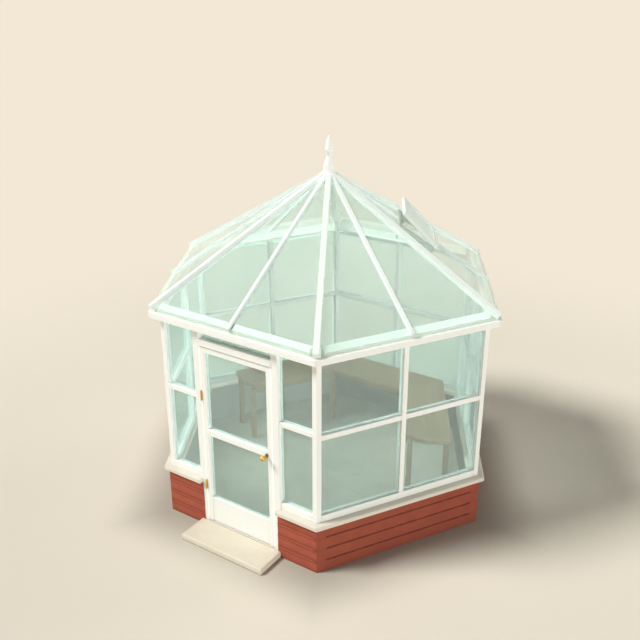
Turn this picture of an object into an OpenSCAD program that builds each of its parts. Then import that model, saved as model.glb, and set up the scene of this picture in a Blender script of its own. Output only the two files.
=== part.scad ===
// Hexagonal garden greenhouse on a low masonry wall, with its door facing -Y.
// Side 0 holds the door. Sides 1 to 5 follow it anticlockwise, seen from above.
// An apothem is the level distance from the centre line to a flat side.
// In a side's own frame the side faces -Y, X runs along it and Z is up.

/* [Dwarf wall] */
// Radius over the outer corners of the wall
wall_r = 1700; // [1550:10:1900]
// Height of the masonry
wall_h = 468; // [380:1:560]
// Thickness of the masonry
wall_t = 102; // [95:1:110]
// Height from the ground to the middle of the lowest bed joint
first_joint = 112.5; // [95:0.5:130]
// Height from one bed joint to the next
course_h = 121.5; // [100:0.5:140]
// Height of a bed joint strip
joint_h = 11; // [6:1:16]
// Depth of a strip's slot in the masonry
joint_depth = 8; // [5:1:15]
// How far a strip stands out of the masonry
joint_proud = 5; // [2:1:8]
// Bare masonry between a strip's end and the wall's corner on a full side
joint_end = 93; // [60:1:140]
// The same on the short walls beside the door
joint_end_front = 24; // [15:1:60]

/* [Coping] */
// Thickness of the coping
coping_t = 42; // [30:1:55]
// Overhang of the coping outside
coping_out = 41; // [30:1:50]
// Overhang of the coping inside
coping_in = 12; // [5:1:20]
// Width of the bevels on the coping
coping_edge = 8; // [3:1:12]

/* [Floor and step] */
// Thickness of the floor slab
slab_h = 50; // [40:1:58]
// How far the doorstep reaches past the door posts on each side
step_side = 6; // [0:1:60]
// Depth of the doorstep
step_d = 300; // [220:1:400]
// Height of the doorstep
step_h = 60; // [50:1:62]
// Width of the bevels on the doorstep
step_edge = 10; // [4:1:15]
// Thickness of the threshold strip
threshold_h = 12; // [8:1:16]

/* [Wall frames] */
// How far the window frames stand back from the masonry's face
frame_set_back = 20; // [10:1:30]
// Depth of the window frames
frame_d = 66; // [60:1:76]
// Width of a corner post on each side of its corner
post_w = 45; // [42:1:60]
// Height of a sill rail
sill_h = 65; // [45:1:85]
// Width of a mullion
mullion_w = 46; // [34:1:60]
// Height from the coping to the underside of the middle rails
mid_up = 808; // [650:1:900]
// Height of a middle rail
mid_h = 48; // [30:1:60]
// Height from the coping to the underside of the sidelights' middle rails
sidelight_up = 836; // [650:1:900]
// Height of a sidelight's middle rail
sidelight_h = 44; // [30:1:60]
// Height of a head rail
head_h = 20; // [18:1:30]
// Depth of a head rail
head_d = 46; // [42:1:55]

/* [Glass] */
// Thickness of the glass
glass_t = 4; // [3:0.5:6]
// How far a pane's edge goes into its frame
glass_bite = 8; // [5:0.5:9]
// Clearance of a pane in its groove
glass_fit = 0.4; // [0.2:0.1:0.8]

/* [Door frame] */
// Clear width between the door posts
door_w = 782; // [740:1:820]
// Width of a door post above the coping
door_post_w = 65; // [55:1:80]
// Width of a door post between the masonry and the doorway
post_foot_w = 41; // [34:1:48]
// How far the door posts stand out of the window frames
door_post_proud = 12; // [6:1:16]
// Height of the door head
door_head_h = 60; // [45:1:80]
// How far the door head stands out of the door posts
door_head_proud = 11; // [4:1:16]
// Height of the light between the door head and the head rail
top_light_h = 143; // [110:1:220]
// Width of the door stops
stop_w = 16; // [12:1:20]

/* [Door leaf] */
// Height of the door leaf
leaf_h = 1810; // [1750:1:1850]
// Thickness of the door leaf
leaf_t = 60; // [50:1:62]
// Gap beside the leaf
leaf_gap = 10; // [9:0.5:12]
// Gap above the leaf
leaf_top_gap = 10; // [4:0.5:14]
// Gap under the leaf
leaf_foot_gap = 8; // [4:0.5:12]
// How far the leaf stands back from the door posts
leaf_set_back = 2; // [0:0.5:4]
// Width of a door stile
stile_w = 45; // [40:1:60]
// Height of the door's top rail
top_rail_h = 50; // [40:1:80]
// Height from the leaf's foot to its middle rail
mid_rail_up = 930; // [800:1:1050]
// Height of the door's middle rail
mid_rail_h = 60; // [56:1:90]
// Height of the kick panel
kick_h = 265; // [200:1:330]
// Depth of the kick panel's recess on each face
kick_recess = 8; // [4:1:12]

/* [Door hinges] */
// Length of a door hinge
hinge_l = 93; // [80:1:110]
// Height from the leaf's foot to the middle of the lower hinge
hinge_low_up = 392; // [300:1:450]
// Height from the leaf's foot to the middle of the upper hinge
hinge_high_up = 1327; // [1250:1:1500]
// Radius of a door hinge's knuckle
knuckle_r = 6; // [5.5:0.1:6.5]
// Radius of a door hinge's pin
hinge_pin_r = 3; // [2.5:0.1:3.5]
// Thickness of the caps on a door hinge's pin
pin_cap_t = 2; // [1.5:0.5:3]
// Thickness of a door hinge's leaf
hinge_leaf_t = 2.5; // [2:0.1:3]
// Width of a door hinge's leaf on the timber
hinge_leaf_w = 34; // [28:1:38]
// How far the hinge pins stand out of the leaf's face
hinge_proud = 10; // [9:0.5:12]
// Radius of a hinge screw
screw_r = 2.2; // [1.8:0.1:2.6]
// Radius of a hinge screw's head
screw_head_r = 4; // [3.6:0.1:4.6]
// Length of a hinge screw
screw_l = 22; // [16:1:26]

/* [Knob and lock] */
// Distance from the leaf's edge to the knob
knob_back_set = 53; // [50:1:58]
// Height from the leaf's foot to the knob
knob_up = 952; // [952:1:962]
// Radius of a knob
knob_r = 25; // [20:1:28]
// Distance from the leaf's face to the centre of a knob
knob_stand = 62; // [55:1:75]
// Radius of a knob's neck
knob_neck_r = 12; // [8:0.5:12]
// Radius of the spindle
spindle_r = 5; // [4:0.1:5.5]
// Radius of a rose
rose_r = 17; // [17:0.5:22]
// Thickness of a rose
rose_t = 5; // [3:0.5:8]
// Number of teeth that a full pinion would have
pinion_teeth = 16; // [16:4:20]
// Length that one tooth takes on the rack
tooth_pitch = 5; // [4.6:0.1:5.2]
// Height of a tooth above and below the pitch line
tooth_half_h = 1.5; // [1.2:0.1:1.6]
// Thickness of a tooth at the pitch line
tooth_w = 1.6; // [1.2:0.1:1.8]
// Thickness of the pinion
pinion_t = 8; // [6:0.5:9]
// Height of the bolt
bolt_h = 12; // [10:0.5:13]
// Thickness of the bolt
bolt_t = 10; // [9:0.5:12]
// Thickness of the lock case's walls
case_wall = 1.5; // [1:0.1:2]
// Height of the keep plate
keep_h = 60; // [45:1:70]
// Thickness of the keep plate
keep_t = 2; // [1.5:0.5:3]

/* [Eaves] */
// Height of a fascia
fascia_h = 58; // [48:1:70]
// Thickness of a fascia
fascia_t = 40; // [30:1:50]
// Width of an eaves beam
beam_w = 49.5; // [44:0.5:56]
// Distance from an eaves beam's end to the corner of its inner edge
beam_end = 38; // [30:1:44]
// Height of the glazing bars' top above the fascias at the beams' outer face
eaves_rise = 72; // [68:1:85]

/* [Roof] */
// Pitch of the roof's faces in degrees
roof_pitch = 34.15; // [30:0.05:38]
// Width of a hip rafter
hip_w = 50; // [44:1:60]
// Depth of a hip rafter
hip_d = 55; // [53:1:57]
// Distance from a hip rafter's tip back to the fascias' corner
hip_set_back = 12; // [8:1:30]
// Width of a glazing bar
bar_w = 30; // [26:1:40]
// Depth of a glazing bar
bar_d = 40; // [38:1:42]
// Depth of the roof glass below the bars' top
glass_drop = 25; // [22:1:26]
// Overhang of the roof glass past the eaves beams
glass_out = 31; // [20:1:38]
// Overhang of the glazing bars past the eaves beams
bar_out = 30; // [20:1:38]
// How far the boss stands below the rafters' tops
boss_drop = 4; // [0:1:10]
// Radius of the boss that the rafters meet on
boss_r = 82; // [76:1:95]
// Height of the boss
boss_h = 88; // [80:1:110]

/* [Finial] */
// Height of the finial
finial_h = 351; // [280:1:420]
// Radius of the finial's foot
finial_foot_r = 76; // [66:1:76]
// Radius of the finial's bulb
bulb_r = 48; // [40:1:52]
// Radius of the finial's neck
neck_r = 22; // [16:1:26]
// Radius of the finial's spindle
spire_r = 36; // [30:1:40]
// Radius of the finial's rounded tip
tip_r = 6; // [4:1:10]

/* [Roof vent] */
// Level distance from the eaves beams in to the vent's hinged edge
vent_in = 517; // [460:1:600]
// Width of the vent
vent_w = 540; // [460:2:560]
// Length of the vent along the slope
vent_l = 440; // [400:2:480]
// Thickness of the vent's frame
vent_t = 36; // [30:1:45]
// Width of the vent's frame members
vent_frame = 40; // [30:1:50]
// Angle at which the vent stands open
vent_open = 11.7; // [5:0.1:20]
// Furthest that the vent opens, from closed
vent_travel = 40; // [30:1:45]
// Width of the curb's members
curb_w = 30; // [26:1:36]
// Depth of the curb
curb_d = 58; // [50:1:70]
// How far the vent laps past the curb at each side
vent_lap = 20; // [10:1:30]
// How far the vent laps past the curb's upper member
vent_top_lap = 40; // [30:1:50]
// Gap between the closed vent and the curb
vent_seat = 0.5; // [0.3:0.1:1]
// Distance from the middle of the vent to each of its hinges
vent_hinge_x = 150; // [100:1:190]
// Length of a vent hinge
vent_hinge_l = 60; // [48:1:80]
// Radius of a vent hinge's knuckle
vent_knuckle_r = 5; // [4.5:0.1:5.5]
// Radius of a vent hinge's pin
vent_pin_r = 2.5; // [2:0.1:3]
// Width of a vent hinge's leaf on the timber
vent_leaf_w = 20; // [16:1:24]
// Width of the stay
stay_w = 16; // [12:1:20]
// Thickness of the stay
stay_t = 5; // [4:0.5:6]
// Height of the stay's guide
guide_h = 28; // [24:1:34]
// Length of the stay's guide, out from the curb
guide_l = 40; // [34:1:60]
// Thickness of the guide in front of the stay
guide_wall = 7; // [5:0.5:9]
// Radius of the clamp screw
clamp_r = 3; // [2.5:0.1:4]
// Radius of the clamp screw's head
clamp_head_r = 9; // [7:0.5:11]
// Thickness of the clamp screw's head
clamp_head_t = 5; // [3:0.5:7]

/* [Bench] */
// Height of the bench top above the ground
bench_z = 700; // [640:1:760]
// Thickness of the bench top
bench_t = 45; // [30:1:50]
// Gap from the masonry to the bench's back edge
bench_gap = 145; // [100:1:200]
// Depth of the bench top
bench_d = 445; // [380:1:500]
// Where the bench ends on the right back side
bench_right = 560; // [480:1:620]
// Where the bench ends on the left back side
bench_left = 540; // [480:1:620]
// Side of a bench leg's square section
leg_w = 50; // [40:1:60]
// Distance from the bench's edges to the middle of a leg
leg_inset = 45; // [36:1:60]
// Height of a bench rail
bench_rail_h = 60; // [40:1:80]
// Thickness of a bench rail
bench_rail_t = 25; // [18:1:30]

/* [Hidden] */
// Gap left where two pieces seat on each other without touching
seat = 0.3;
// Half of the gap left between pieces that meet in a mitre
mitre = 0.2;
// Clearance of a moving pin in its bore
run_fit = 0.05;
// Clearance of a fixed screw in its hole
hole_fit = 0.05;
// Gap between pieces that butt on a turned face
butt = 0.05;
// How far a cutting shape passes the face that it opens, and a joined one enters
over = 1;
// Longer than any side, for bars that a mitre then cuts
reach = 2 * wall_r;
// Smooth rounds and plain ones
smooth = 64;
plain = 32;

// Apothems and heights of the wall
wall_a = wall_r * cos(30);
wall_in = wall_a - wall_t;
coping_z = wall_h + coping_t;
joint_count = 1 + floor((wall_h - first_joint - joint_h) / course_h);

// Window frames
frame_a = wall_a - frame_set_back;
frame_in = frame_a - frame_d;
glass_a = frame_a - frame_d / 2;
post_in = half_side(frame_a) - post_w;
rail_end = post_in - butt;
sill_top = coping_z + sill_h;
mid_z = coping_z + mid_up;
sidelight_z = coping_z + sidelight_up;

// Door frame and leaf
open_x = door_w / 2;
post_x = open_x + door_post_w;
foot_x = open_x + post_foot_w;
door_post_a = frame_a + door_post_proud;
leaf_x = open_x - leaf_gap;
leaf_z = slab_h + threshold_h + leaf_foot_gap;
leaf_top = leaf_z + leaf_h;
leaf_a = door_post_a - leaf_set_back;
leaf_in = leaf_a - leaf_t;
leaf_mid = leaf_a - leaf_t / 2;
light_x = leaf_x - stile_w;
rail_z = leaf_z + mid_rail_up;
door_head_z = leaf_top + leaf_top_gap;
door_head_top = door_head_z + door_head_h;
head_z = door_head_top + top_light_h;
frame_top = head_z + head_h;
stop_a = leaf_in - seat;
step_x = post_x + step_side;

// Door hinges
hinge_a = leaf_a + hinge_proud;
hinge_x = -open_x + leaf_gap / 2;
hinge_zs = [leaf_z + hinge_low_up, leaf_z + hinge_high_up];
door_knuckles = 5;
screw_land = 0.4;

// Shares of a hinge leaf's width and length at which its screws stand
screw_across = 0.55;
screw_along = 0.34;

// Knob, pinion, bolt and case, measured from the spindle's axis
knob_x = leaf_x - knob_back_set;
knob_z = leaf_z + knob_up;
pitch_r = tooth_pitch * pinion_teeth / (2 * PI);
root_r = pitch_r - tooth_half_h - seat;
bolt_low = pitch_r - tooth_half_h;
bolt_high = bolt_low + bolt_h;
quarter_teeth = pinion_teeth / 4;
bolt_throw = tooth_pitch * quarter_teeth;
bolt_room = 4;
case_room = 6;
spindle_room = 2;
spindle_back = 3;
tooth_taper = 0.3;
bolt_tail = bolt_throw + case_room;
case_x0 = -bolt_tail - seat - case_wall;
case_x1 = pitch_r + tooth_half_h + seat + case_wall + case_room;
case_z0 = -root_r - seat - case_wall;
case_z1 = bolt_high + seat + case_wall;
case_half_t = bolt_t / 2 + seat + case_wall;

// Eaves and roof planes
beam_in = frame_a + seat;
beam_a = beam_in + beam_w;
fascia_a = beam_a + fascia_t;
fascia_z = frame_top - fascia_h;
ridge_z = frame_top + eaves_rise + tan(roof_pitch) * beam_a;
hip_pitch = atan(tan(roof_pitch) * cos(30));
hip_tip = (fascia_a / cos(30) - hip_set_back) / cos(hip_pitch);
glass_depth = glass_drop + glass_t;
glass_in_a = boss_r + seat + glass_depth * sin(roof_pitch);
boss_z = ridge_z - tan(hip_pitch) * boss_r - boss_drop;

// Roof vent, in the frame whose origin is the middle of its hinged edge
vent_side_index = 2;
vent_y = -(beam_a - vent_in) / cos(roof_pitch);
curb_x = vent_w / 2 - vent_lap;
curb_l = vent_l - vent_top_lap;
vent_hinge_y = -vent_knuckle_r;
vent_knuckles = 3;
vent_glass_z = vent_seat + vent_t / 2;
arm_gap = 1.5;

// Stay and guide
guide_y1 = curb_l - curb_w;
guide_y0 = guide_y1 - guide_l;
guide_x = 3 * stay_t;
guide_drop = 8;
stay_r = guide_y0 + guide_wall + stay_w / 2 - vent_hinge_y;
stay_foot_t = 3;
stay_past = 5;
clamp_z = -guide_drop - guide_h / 2;
clamp_y = vent_hinge_y + sqrt(stay_r * stay_r - clamp_z * clamp_z);

// Bench
bench_under = bench_z - bench_t;
bench_back = wall_in - bench_gap;
bench_front = bench_back - bench_d;
leg_front = bench_front + leg_inset;
leg_back = bench_back - leg_inset;

function half_side(a) = a * tan(30);
function glass_under(a) = ridge_z - glass_depth / cos(roof_pitch) - tan(roof_pitch) * a;
function roof_point(x, a) = [x, -a / cos(roof_pitch)];
function joint_z(n) = first_joint + (n - 1) * course_h - joint_h / 2;

// Frames of reference
module side(k) {
    rotate([0, 0, 60 * k]) children();
}

module corner(k) {
    rotate([0, 0, 60 * k - 60]) children();
}

module on_slope() {
    translate([0, 0, ridge_z]) rotate([roof_pitch, 0, 0]) children();
}

module on_hip() {
    translate([0, 0, ridge_z]) rotate([0, hip_pitch, 0]) children();
}

module on_vent() {
    side(vent_side_index) on_slope() translate([0, vent_y, 0]) children();
}

module swung_vent() {
    on_vent()
        translate([0, vent_hinge_y, 0]) rotate([vent_open, 0, 0]) translate([0, -vent_hinge_y, 0])
            children();
}

module at_lock() {
    translate([knob_x, -leaf_mid, knob_z]) children();
}

// Shapes that repeat
module block(x0, x1, a0, a1, z0, z1) {
    translate([x0, -a1, z0]) cube([x1 - x0, a1 - a0, z1 - z0]);
}

module side_bar(x0, x1, section) {
    translate([x0, 0, 0])
        rotate([90, 0, 90])
            linear_extrude(height = x1 - x0)
                polygon([for (p = section) [-p[0], p[1]]]);
}

module mitre_wedge(gap) {
    linear_extrude(height = ridge_z)
        polygon([
            [0, -2 * gap],
            [-half_side(reach), -reach - 2 * gap],
            [half_side(reach), -reach - 2 * gap]
        ]);
}

module cross_rod(r, length) {
    rotate([90, 0, 0]) cylinder(r = r, h = length, center = true, $fn = smooth);
}

// Section of the coping with its bevelled edges, as apothems and heights
function coping_section() = [
    [wall_in - coping_in, wall_h],
    [wall_in - coping_in, coping_z - coping_edge],
    [wall_in - coping_in + coping_edge, coping_z],
    [wall_a + coping_out - coping_edge, coping_z],
    [wall_a + coping_out, coping_z - coping_edge],
    [wall_a + coping_out, wall_h + coping_edge / 2],
    [wall_a + coping_out - coping_edge / 2, wall_h]
];

// Section of an eaves beam, its top cut to the slope of the glass
function beam_section(gap) = [
    [beam_in - gap, fascia_z],
    [beam_a + gap, fascia_z],
    [beam_a + gap, glass_under(beam_a + gap) - seat + gap],
    [beam_in - gap, glass_under(beam_in - gap) - seat + gap]
];

// Floor and step
module floor_slab() {
    color("#a9b0a2")
        linear_extrude(height = slab_h)
            union() {
                circle(r = (wall_in - butt) / cos(30), $fn = 6);
                translate([butt - foot_x, -wall_a]) square([2 * (foot_x - butt), wall_a]);
            }
}

module door_step() {
    color("#f0e6cf")
        intersection() {
            side_bar(-step_x, step_x, [
                [wall_a, 0],
                [wall_a + step_d, 0],
                [wall_a + step_d, step_h - step_edge],
                [wall_a + step_d - step_edge, step_h],
                [wall_a, step_h]
            ]);
            translate([0, -wall_a, 0])
                rotate([90, 0, 0])
                    linear_extrude(height = step_d)
                        polygon([
                            [-step_x, 0],
                            [step_x, 0],
                            [step_x, step_h - step_edge],
                            [step_x - step_edge, step_h],
                            [step_edge - step_x, step_h],
                            [-step_x, step_h - step_edge]
                        ]);
        }
}

module threshold() {
    color("#d9d4c4") block(-open_x, open_x, frame_in, door_post_a, slab_h, slab_h + threshold_h);
}

// Masonry
module wall_side(k) {
    color("#b3583f")
        difference() {
            side(k) intersection() {
                block(-wall_r, wall_r, wall_in, wall_a, 0, wall_h);
                mitre_wedge(0);
            }
            side(k) joint_strips(-half_side(wall_a) + joint_end, half_side(wall_a) - joint_end, hole_fit);
        }
}

module wall_stub(s) {
    x0 = s > 0 ? foot_x : -wall_r;
    x1 = s > 0 ? wall_r : -foot_x;
    color("#b3583f")
        difference() {
            intersection() {
                block(x0, x1, wall_in, wall_a, 0, wall_h);
                mitre_wedge(0);
            }
            front_strips(hole_fit);
        }
}

module joint_strips(x0, x1, gap) {
    for (n = [1 : joint_count])
        block(x0 - gap, x1 + gap, wall_a - joint_depth - gap, wall_a + joint_proud,
              joint_z(n) - gap, joint_z(n) + joint_h + gap);
}

module front_strips(gap) {
    edge = half_side(wall_a) - joint_end_front;
    joint_strips(foot_x + seat, edge, gap);
    joint_strips(-edge, -foot_x - seat, gap);
}

module bed_joints() {
    color("#78321f") {
        for (k = [1 : 5])
            side(k) joint_strips(-half_side(wall_a) + joint_end, half_side(wall_a) - joint_end, 0);
        front_strips(0);
    }
}

module coping_front() {
    color("#f0e6cf")
        for (s = [0, 1])
            mirror([s, 0, 0]) intersection() {
                side_bar(foot_x, reach, coping_section());
                mitre_wedge(mitre);
            }
}

module coping_sides() {
    color("#f0e6cf")
        for (k = [1 : 5])
            side(k) intersection() {
                side_bar(-reach, reach, coping_section());
                mitre_wedge(mitre);
            }
}

// Panes of the walls: [x0, x1, z0, z1] of each light that they fill
function side_lights() = [
    for (x = [[-post_in, -mullion_w / 2], [mullion_w / 2, post_in]])
        for (z = [[sill_top, mid_z], [mid_z + mid_h, head_z]])
            [x[0], x[1], z[0], z[1]]
];

function front_lights() = concat(
    [
        for (x = [[-post_in, -post_x], [post_x, post_in]])
            for (z = [[sill_top, sidelight_z], [sidelight_z + sidelight_h, head_z]])
                [x[0], x[1], z[0], z[1]]
    ],
    [[-open_x, open_x, door_head_top, head_z]]
);

function door_lights() = [
    [-light_x, light_x, leaf_z + kick_h, rail_z],
    [-light_x, light_x, rail_z + mid_rail_h, leaf_top - top_rail_h]
];

module panes(lights, a, gap) {
    lap = glass_bite + gap;
    for (p = lights)
        block(p[0] - lap, p[1] + lap, a - glass_t / 2 - gap, a + glass_t / 2 + gap, p[2] - lap, p[3] + lap);
}

module wall_grooves() {
    for (k = [1 : 5])
        side(k) panes(side_lights(), glass_a, glass_fit);
    panes(front_lights(), glass_a, glass_fit);
}

module side_panes() {
    color("#cfe3d8", 0.35)
        for (k = [1 : 5])
            side(k) panes(side_lights(), glass_a, 0);
}

module front_panes() {
    color("#cfe3d8", 0.35) panes(front_lights(), glass_a, 0);
}

// Window frames
module corner_posts() {
    corner_r = frame_a / cos(30);
    across = post_w * sin(60);
    back = post_w * cos(60);
    depth_x = frame_d * cos(30);
    depth_y = frame_d * sin(30);
    color("#fffff5")
        difference() {
            for (k = [0 : 5])
                corner(k) difference() {
                    translate([0, 0, coping_z])
                        linear_extrude(height = ridge_z - coping_z)
                            polygon([
                                [corner_r, 0],
                                [corner_r - back, across],
                                [corner_r - back - depth_x, across - depth_y],
                                [corner_r - back - depth_x, depth_y - across],
                                [corner_r - back, -across]
                            ]);
                    on_hip()
                        translate([0, -post_w * 2, -hip_d - seat]) cube([reach, post_w * 4, reach]);
                }
            wall_grooves();
        }
}

module frame_rail(x0, x1, z0, h, d) {
    block(x0, x1, frame_a - d, frame_a, z0, z0 + h);
}

module sill_rails() {
    color("#fffff5")
        difference() {
            union() {
                for (k = [1 : 5])
                    side(k) frame_rail(-rail_end, rail_end, coping_z, sill_h, frame_d);
                frame_rail(-rail_end, -post_x, coping_z, sill_h, frame_d);
                frame_rail(post_x, rail_end, coping_z, sill_h, frame_d);
            }
            wall_grooves();
        }
}

module mullions() {
    color("#fffff5")
        difference() {
            for (k = [1 : 5])
                side(k) frame_rail(-mullion_w / 2, mullion_w / 2, sill_top, head_z - sill_top, frame_d);
            wall_grooves();
        }
}

module mid_rails() {
    color("#fffff5")
        difference() {
            union() {
                for (k = [1 : 5])
                    side(k) {
                        frame_rail(-rail_end, -mullion_w / 2, mid_z, mid_h, frame_d);
                        frame_rail(mullion_w / 2, rail_end, mid_z, mid_h, frame_d);
                    }
                frame_rail(-rail_end, -post_x, sidelight_z, sidelight_h, frame_d);
                frame_rail(post_x, rail_end, sidelight_z, sidelight_h, frame_d);
            }
            wall_grooves();
        }
}

module head_rails() {
    color("#fffff5")
        difference() {
            union() {
                for (k = [1 : 5])
                    side(k) frame_rail(-rail_end, rail_end, head_z, head_h, head_d);
                frame_rail(-rail_end, -post_x, head_z, head_h, head_d);
                frame_rail(-open_x, open_x, head_z, head_h, head_d);
                frame_rail(post_x, rail_end, head_z, head_h, head_d);
            }
            wall_grooves();
        }
}

// Door frame
module door_posts() {
    color("#fffff5")
        difference() {
            for (s = [0, 1])
                mirror([s, 0, 0]) {
                    block(open_x, foot_x, frame_in, door_post_a, slab_h, coping_z);
                    block(open_x, post_x, frame_in, door_post_a, coping_z, frame_top);
                }
            side_bar(-wall_r, wall_r, beam_section(seat));
            wall_grooves();
            keep_cuts();
            for (z = hinge_zs)
                hinge_screw_holes(z, -1);
        }
}

module keep_block() {
    translate([0, -bolt_t, (bolt_low + bolt_high - keep_h) / 2]) cube([keep_t, 2 * bolt_t, keep_h]);
}

module keep_cuts() {
    translate([open_x, -leaf_mid, knob_z]) {
        keep_block();
        translate([0, -bolt_t / 2 - seat, bolt_low - seat])
            cube([bolt_throw - leaf_gap + bolt_room, bolt_t + 2 * seat, bolt_h + 2 * seat]);
    }
}

module keep_plate() {
    color("#d8a93a")
        translate([open_x, -leaf_mid, knob_z])
            difference() {
                keep_block();
                translate([-over, -bolt_t / 2 - seat, bolt_low - seat])
                    cube([keep_t + 2 * over, bolt_t + 2 * seat, bolt_h + 2 * seat]);
            }
}

module door_head() {
    color("#fffff5")
        difference() {
            block(-open_x, open_x, frame_in, door_post_a + door_head_proud, door_head_z, door_head_top);
            wall_grooves();
        }
}

module door_stops() {
    z0 = slab_h + threshold_h;
    z1 = door_head_z - stop_w - mitre;
    color("#fffff5") {
        block(-open_x, stop_w - open_x, frame_in, stop_a, z0, z1);
        block(open_x - stop_w, open_x, frame_in, stop_a, z0, z1);
        block(-open_x, open_x, frame_in, stop_a, door_head_z - stop_w, door_head_z);
    }
}

// Door leaf
module door_stiles() {
    color("#fffff5")
        difference() {
            for (s = [0, 1])
                mirror([s, 0, 0]) block(light_x, leaf_x, leaf_in, leaf_a, leaf_z, leaf_top);
            panes(door_lights(), leaf_mid, glass_fit);
            lock_cuts();
            for (z = hinge_zs)
                hinge_screw_holes(z, 1);
        }
}

module door_rails() {
    color("#fffff5")
        difference() {
            union() {
                block(-light_x, light_x, leaf_in, leaf_a, rail_z, rail_z + mid_rail_h);
                block(-light_x, light_x, leaf_in, leaf_a, leaf_top - top_rail_h, leaf_top);
            }
            panes(door_lights(), leaf_mid, glass_fit);
            lock_cuts();
        }
}

module kick_panel() {
    color("#fffff5")
        difference() {
            block(-light_x, light_x, leaf_in + kick_recess, leaf_a - kick_recess, leaf_z, leaf_z + kick_h);
            panes(door_lights(), leaf_mid, glass_fit);
        }
}

module door_panes() {
    color("#cfe3d8", 0.35) panes(door_lights(), leaf_mid, 0);
}

// Butt hinges of the door: the pins' axis is the origin and s picks the frame (-1) or the leaf (1)
module at_door_hinge(z) {
    translate([hinge_x, -hinge_a, z]) children();
}

module hinge_leaf(s, length, count, first, r, pin_r, w, gap_half, off) {
    t = hinge_leaf_t;
    knuckle_l = (length - (count - 1) * seat) / count;
    plate_x = s > 0 ? gap_half - t : -gap_half;
    difference() {
        union() {
            translate([plate_x, r + seat, -length / 2]) cube([t, off + w - r - seat, length]);
            for (n = [first : 2 : count - 1])
                translate([0, 0, -length / 2 + n * (knuckle_l + seat)]) {
                    cylinder(r = r, h = knuckle_l, $fn = smooth);
                    translate([plate_x, 0, 0]) cube([t, r + seat + over, knuckle_l]);
                }
        }
        translate([0, 0, -length]) cylinder(r = pin_r + run_fit, h = 2 * length, $fn = smooth);
    }
}

module at_hinge_screws(s) {
    for (dz = [-1, 0, 1])
        translate([s * leaf_gap / 2, hinge_proud + hinge_leaf_w * screw_across, dz * hinge_l * screw_along])
            rotate([0, s * 90, 0])
                children();
}

module hinge_screw_holes(z, s) {
    at_door_hinge(z) at_hinge_screws(s) translate([0, 0, -hinge_leaf_t]) screw_body(hole_fit);
}

module screw_body(gap) {
    cylinder(r = screw_r + gap, h = screw_l + gap, $fn = plain);
}

module countersunk(head_r, r, length) {
    translate([0, 0, -hinge_leaf_t]) {
        cylinder(r1 = head_r, r2 = r, h = hinge_leaf_t - screw_land, $fn = plain);
        cylinder(r = r, h = length, $fn = plain);
    }
}

module hinge_screw() {
    countersunk(screw_head_r, screw_r, screw_l);
}

module hinge_screw_sink() {
    countersunk(screw_head_r + hole_fit, screw_r + hole_fit, hinge_leaf_t + over);
}

module door_hinge_leaves(s, first) {
    color("#d8a93a")
        for (z = hinge_zs)
            at_door_hinge(z) difference() {
                hinge_leaf(s, hinge_l, door_knuckles, first, knuckle_r, hinge_pin_r, hinge_leaf_w,
                           leaf_gap / 2, hinge_proud);
                at_hinge_screws(s) hinge_screw_sink();
            }
}

module hinge_frame_leaves() {
    door_hinge_leaves(-1, 0);
}

module hinge_door_leaves() {
    door_hinge_leaves(1, 1);
}

module door_hinge_pins() {
    color("#c79a2e")
        for (z = hinge_zs)
            at_door_hinge(z) {
                cylinder(r = hinge_pin_r, h = hinge_l + 2 * seat + pin_cap_t, center = true, $fn = smooth);
                for (s = [-1, 1])
                    translate([0, 0, s * (hinge_l / 2 + seat + pin_cap_t / 2)])
                        cylinder(r = knuckle_r - seat, h = pin_cap_t, center = true, $fn = smooth);
            }
}

module frame_screws() {
    color("#b98f2c")
        for (z = hinge_zs)
            at_door_hinge(z) at_hinge_screws(-1) hinge_screw();
}

module leaf_screws() {
    color("#b98f2c")
        for (z = hinge_zs)
            at_door_hinge(z) at_hinge_screws(1) hinge_screw();
}

// Lock: a knob's pinion throws a plain bolt through the edge of the leaf
module case_block(inset) {
    translate([case_x0 + inset, inset - case_half_t, case_z0 + inset])
        cube([case_x1 - case_x0 - 2 * inset, 2 * (case_half_t - inset), case_z1 - case_z0 - 2 * inset]);
}

module lock_cuts() {
    at_lock() {
        case_block(-hole_fit);
        translate([0, -bolt_t / 2 - seat, bolt_low - seat])
            cube([knob_back_set + over, bolt_t + 2 * seat, bolt_h + 2 * seat]);
        cross_rod(spindle_r + spindle_room, leaf_t + 2 * over);
    }
}

module lock_case() {
    color("#8e8e88")
        at_lock() difference() {
            case_block(0);
            case_block(case_wall);
            translate([0, -bolt_t / 2 - seat, bolt_low - seat])
                cube([case_x1 + over, bolt_t + 2 * seat, bolt_h + 2 * seat]);
            cross_rod(spindle_r + run_fit, 4 * case_half_t);
        }
}

module knob_roses() {
    color("#d8a93a")
        at_lock() for (s = [-1, 1])
            translate([0, s * (leaf_t + rose_t) / 2, 0])
                difference() {
                    cross_rod(rose_r, rose_t);
                    cross_rod(spindle_r + run_fit, rose_t + 2 * over);
                }
}

module knob(s) {
    neck = knob_stand - rose_t - seat;
    color("#d8a93a")
        at_lock() rotate([s * 90, 0, 0])
            translate([0, 0, leaf_t / 2])
                difference() {
                    union() {
                        translate([0, 0, rose_t + seat]) cylinder(r = knob_neck_r, h = neck, $fn = smooth);
                        translate([0, 0, knob_stand]) sphere(r = knob_r, $fn = smooth);
                    }
                    cylinder(r = spindle_r + run_fit, h = knob_stand, $fn = smooth);
                }
}

module outer_knob() {
    knob(1);
}

module inner_knob() {
    knob(-1);
}

module knob_spindle() {
    color("#b0b0a8") at_lock() cross_rod(spindle_r, leaf_t + 2 * (knob_stand - spindle_back));
}

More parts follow.
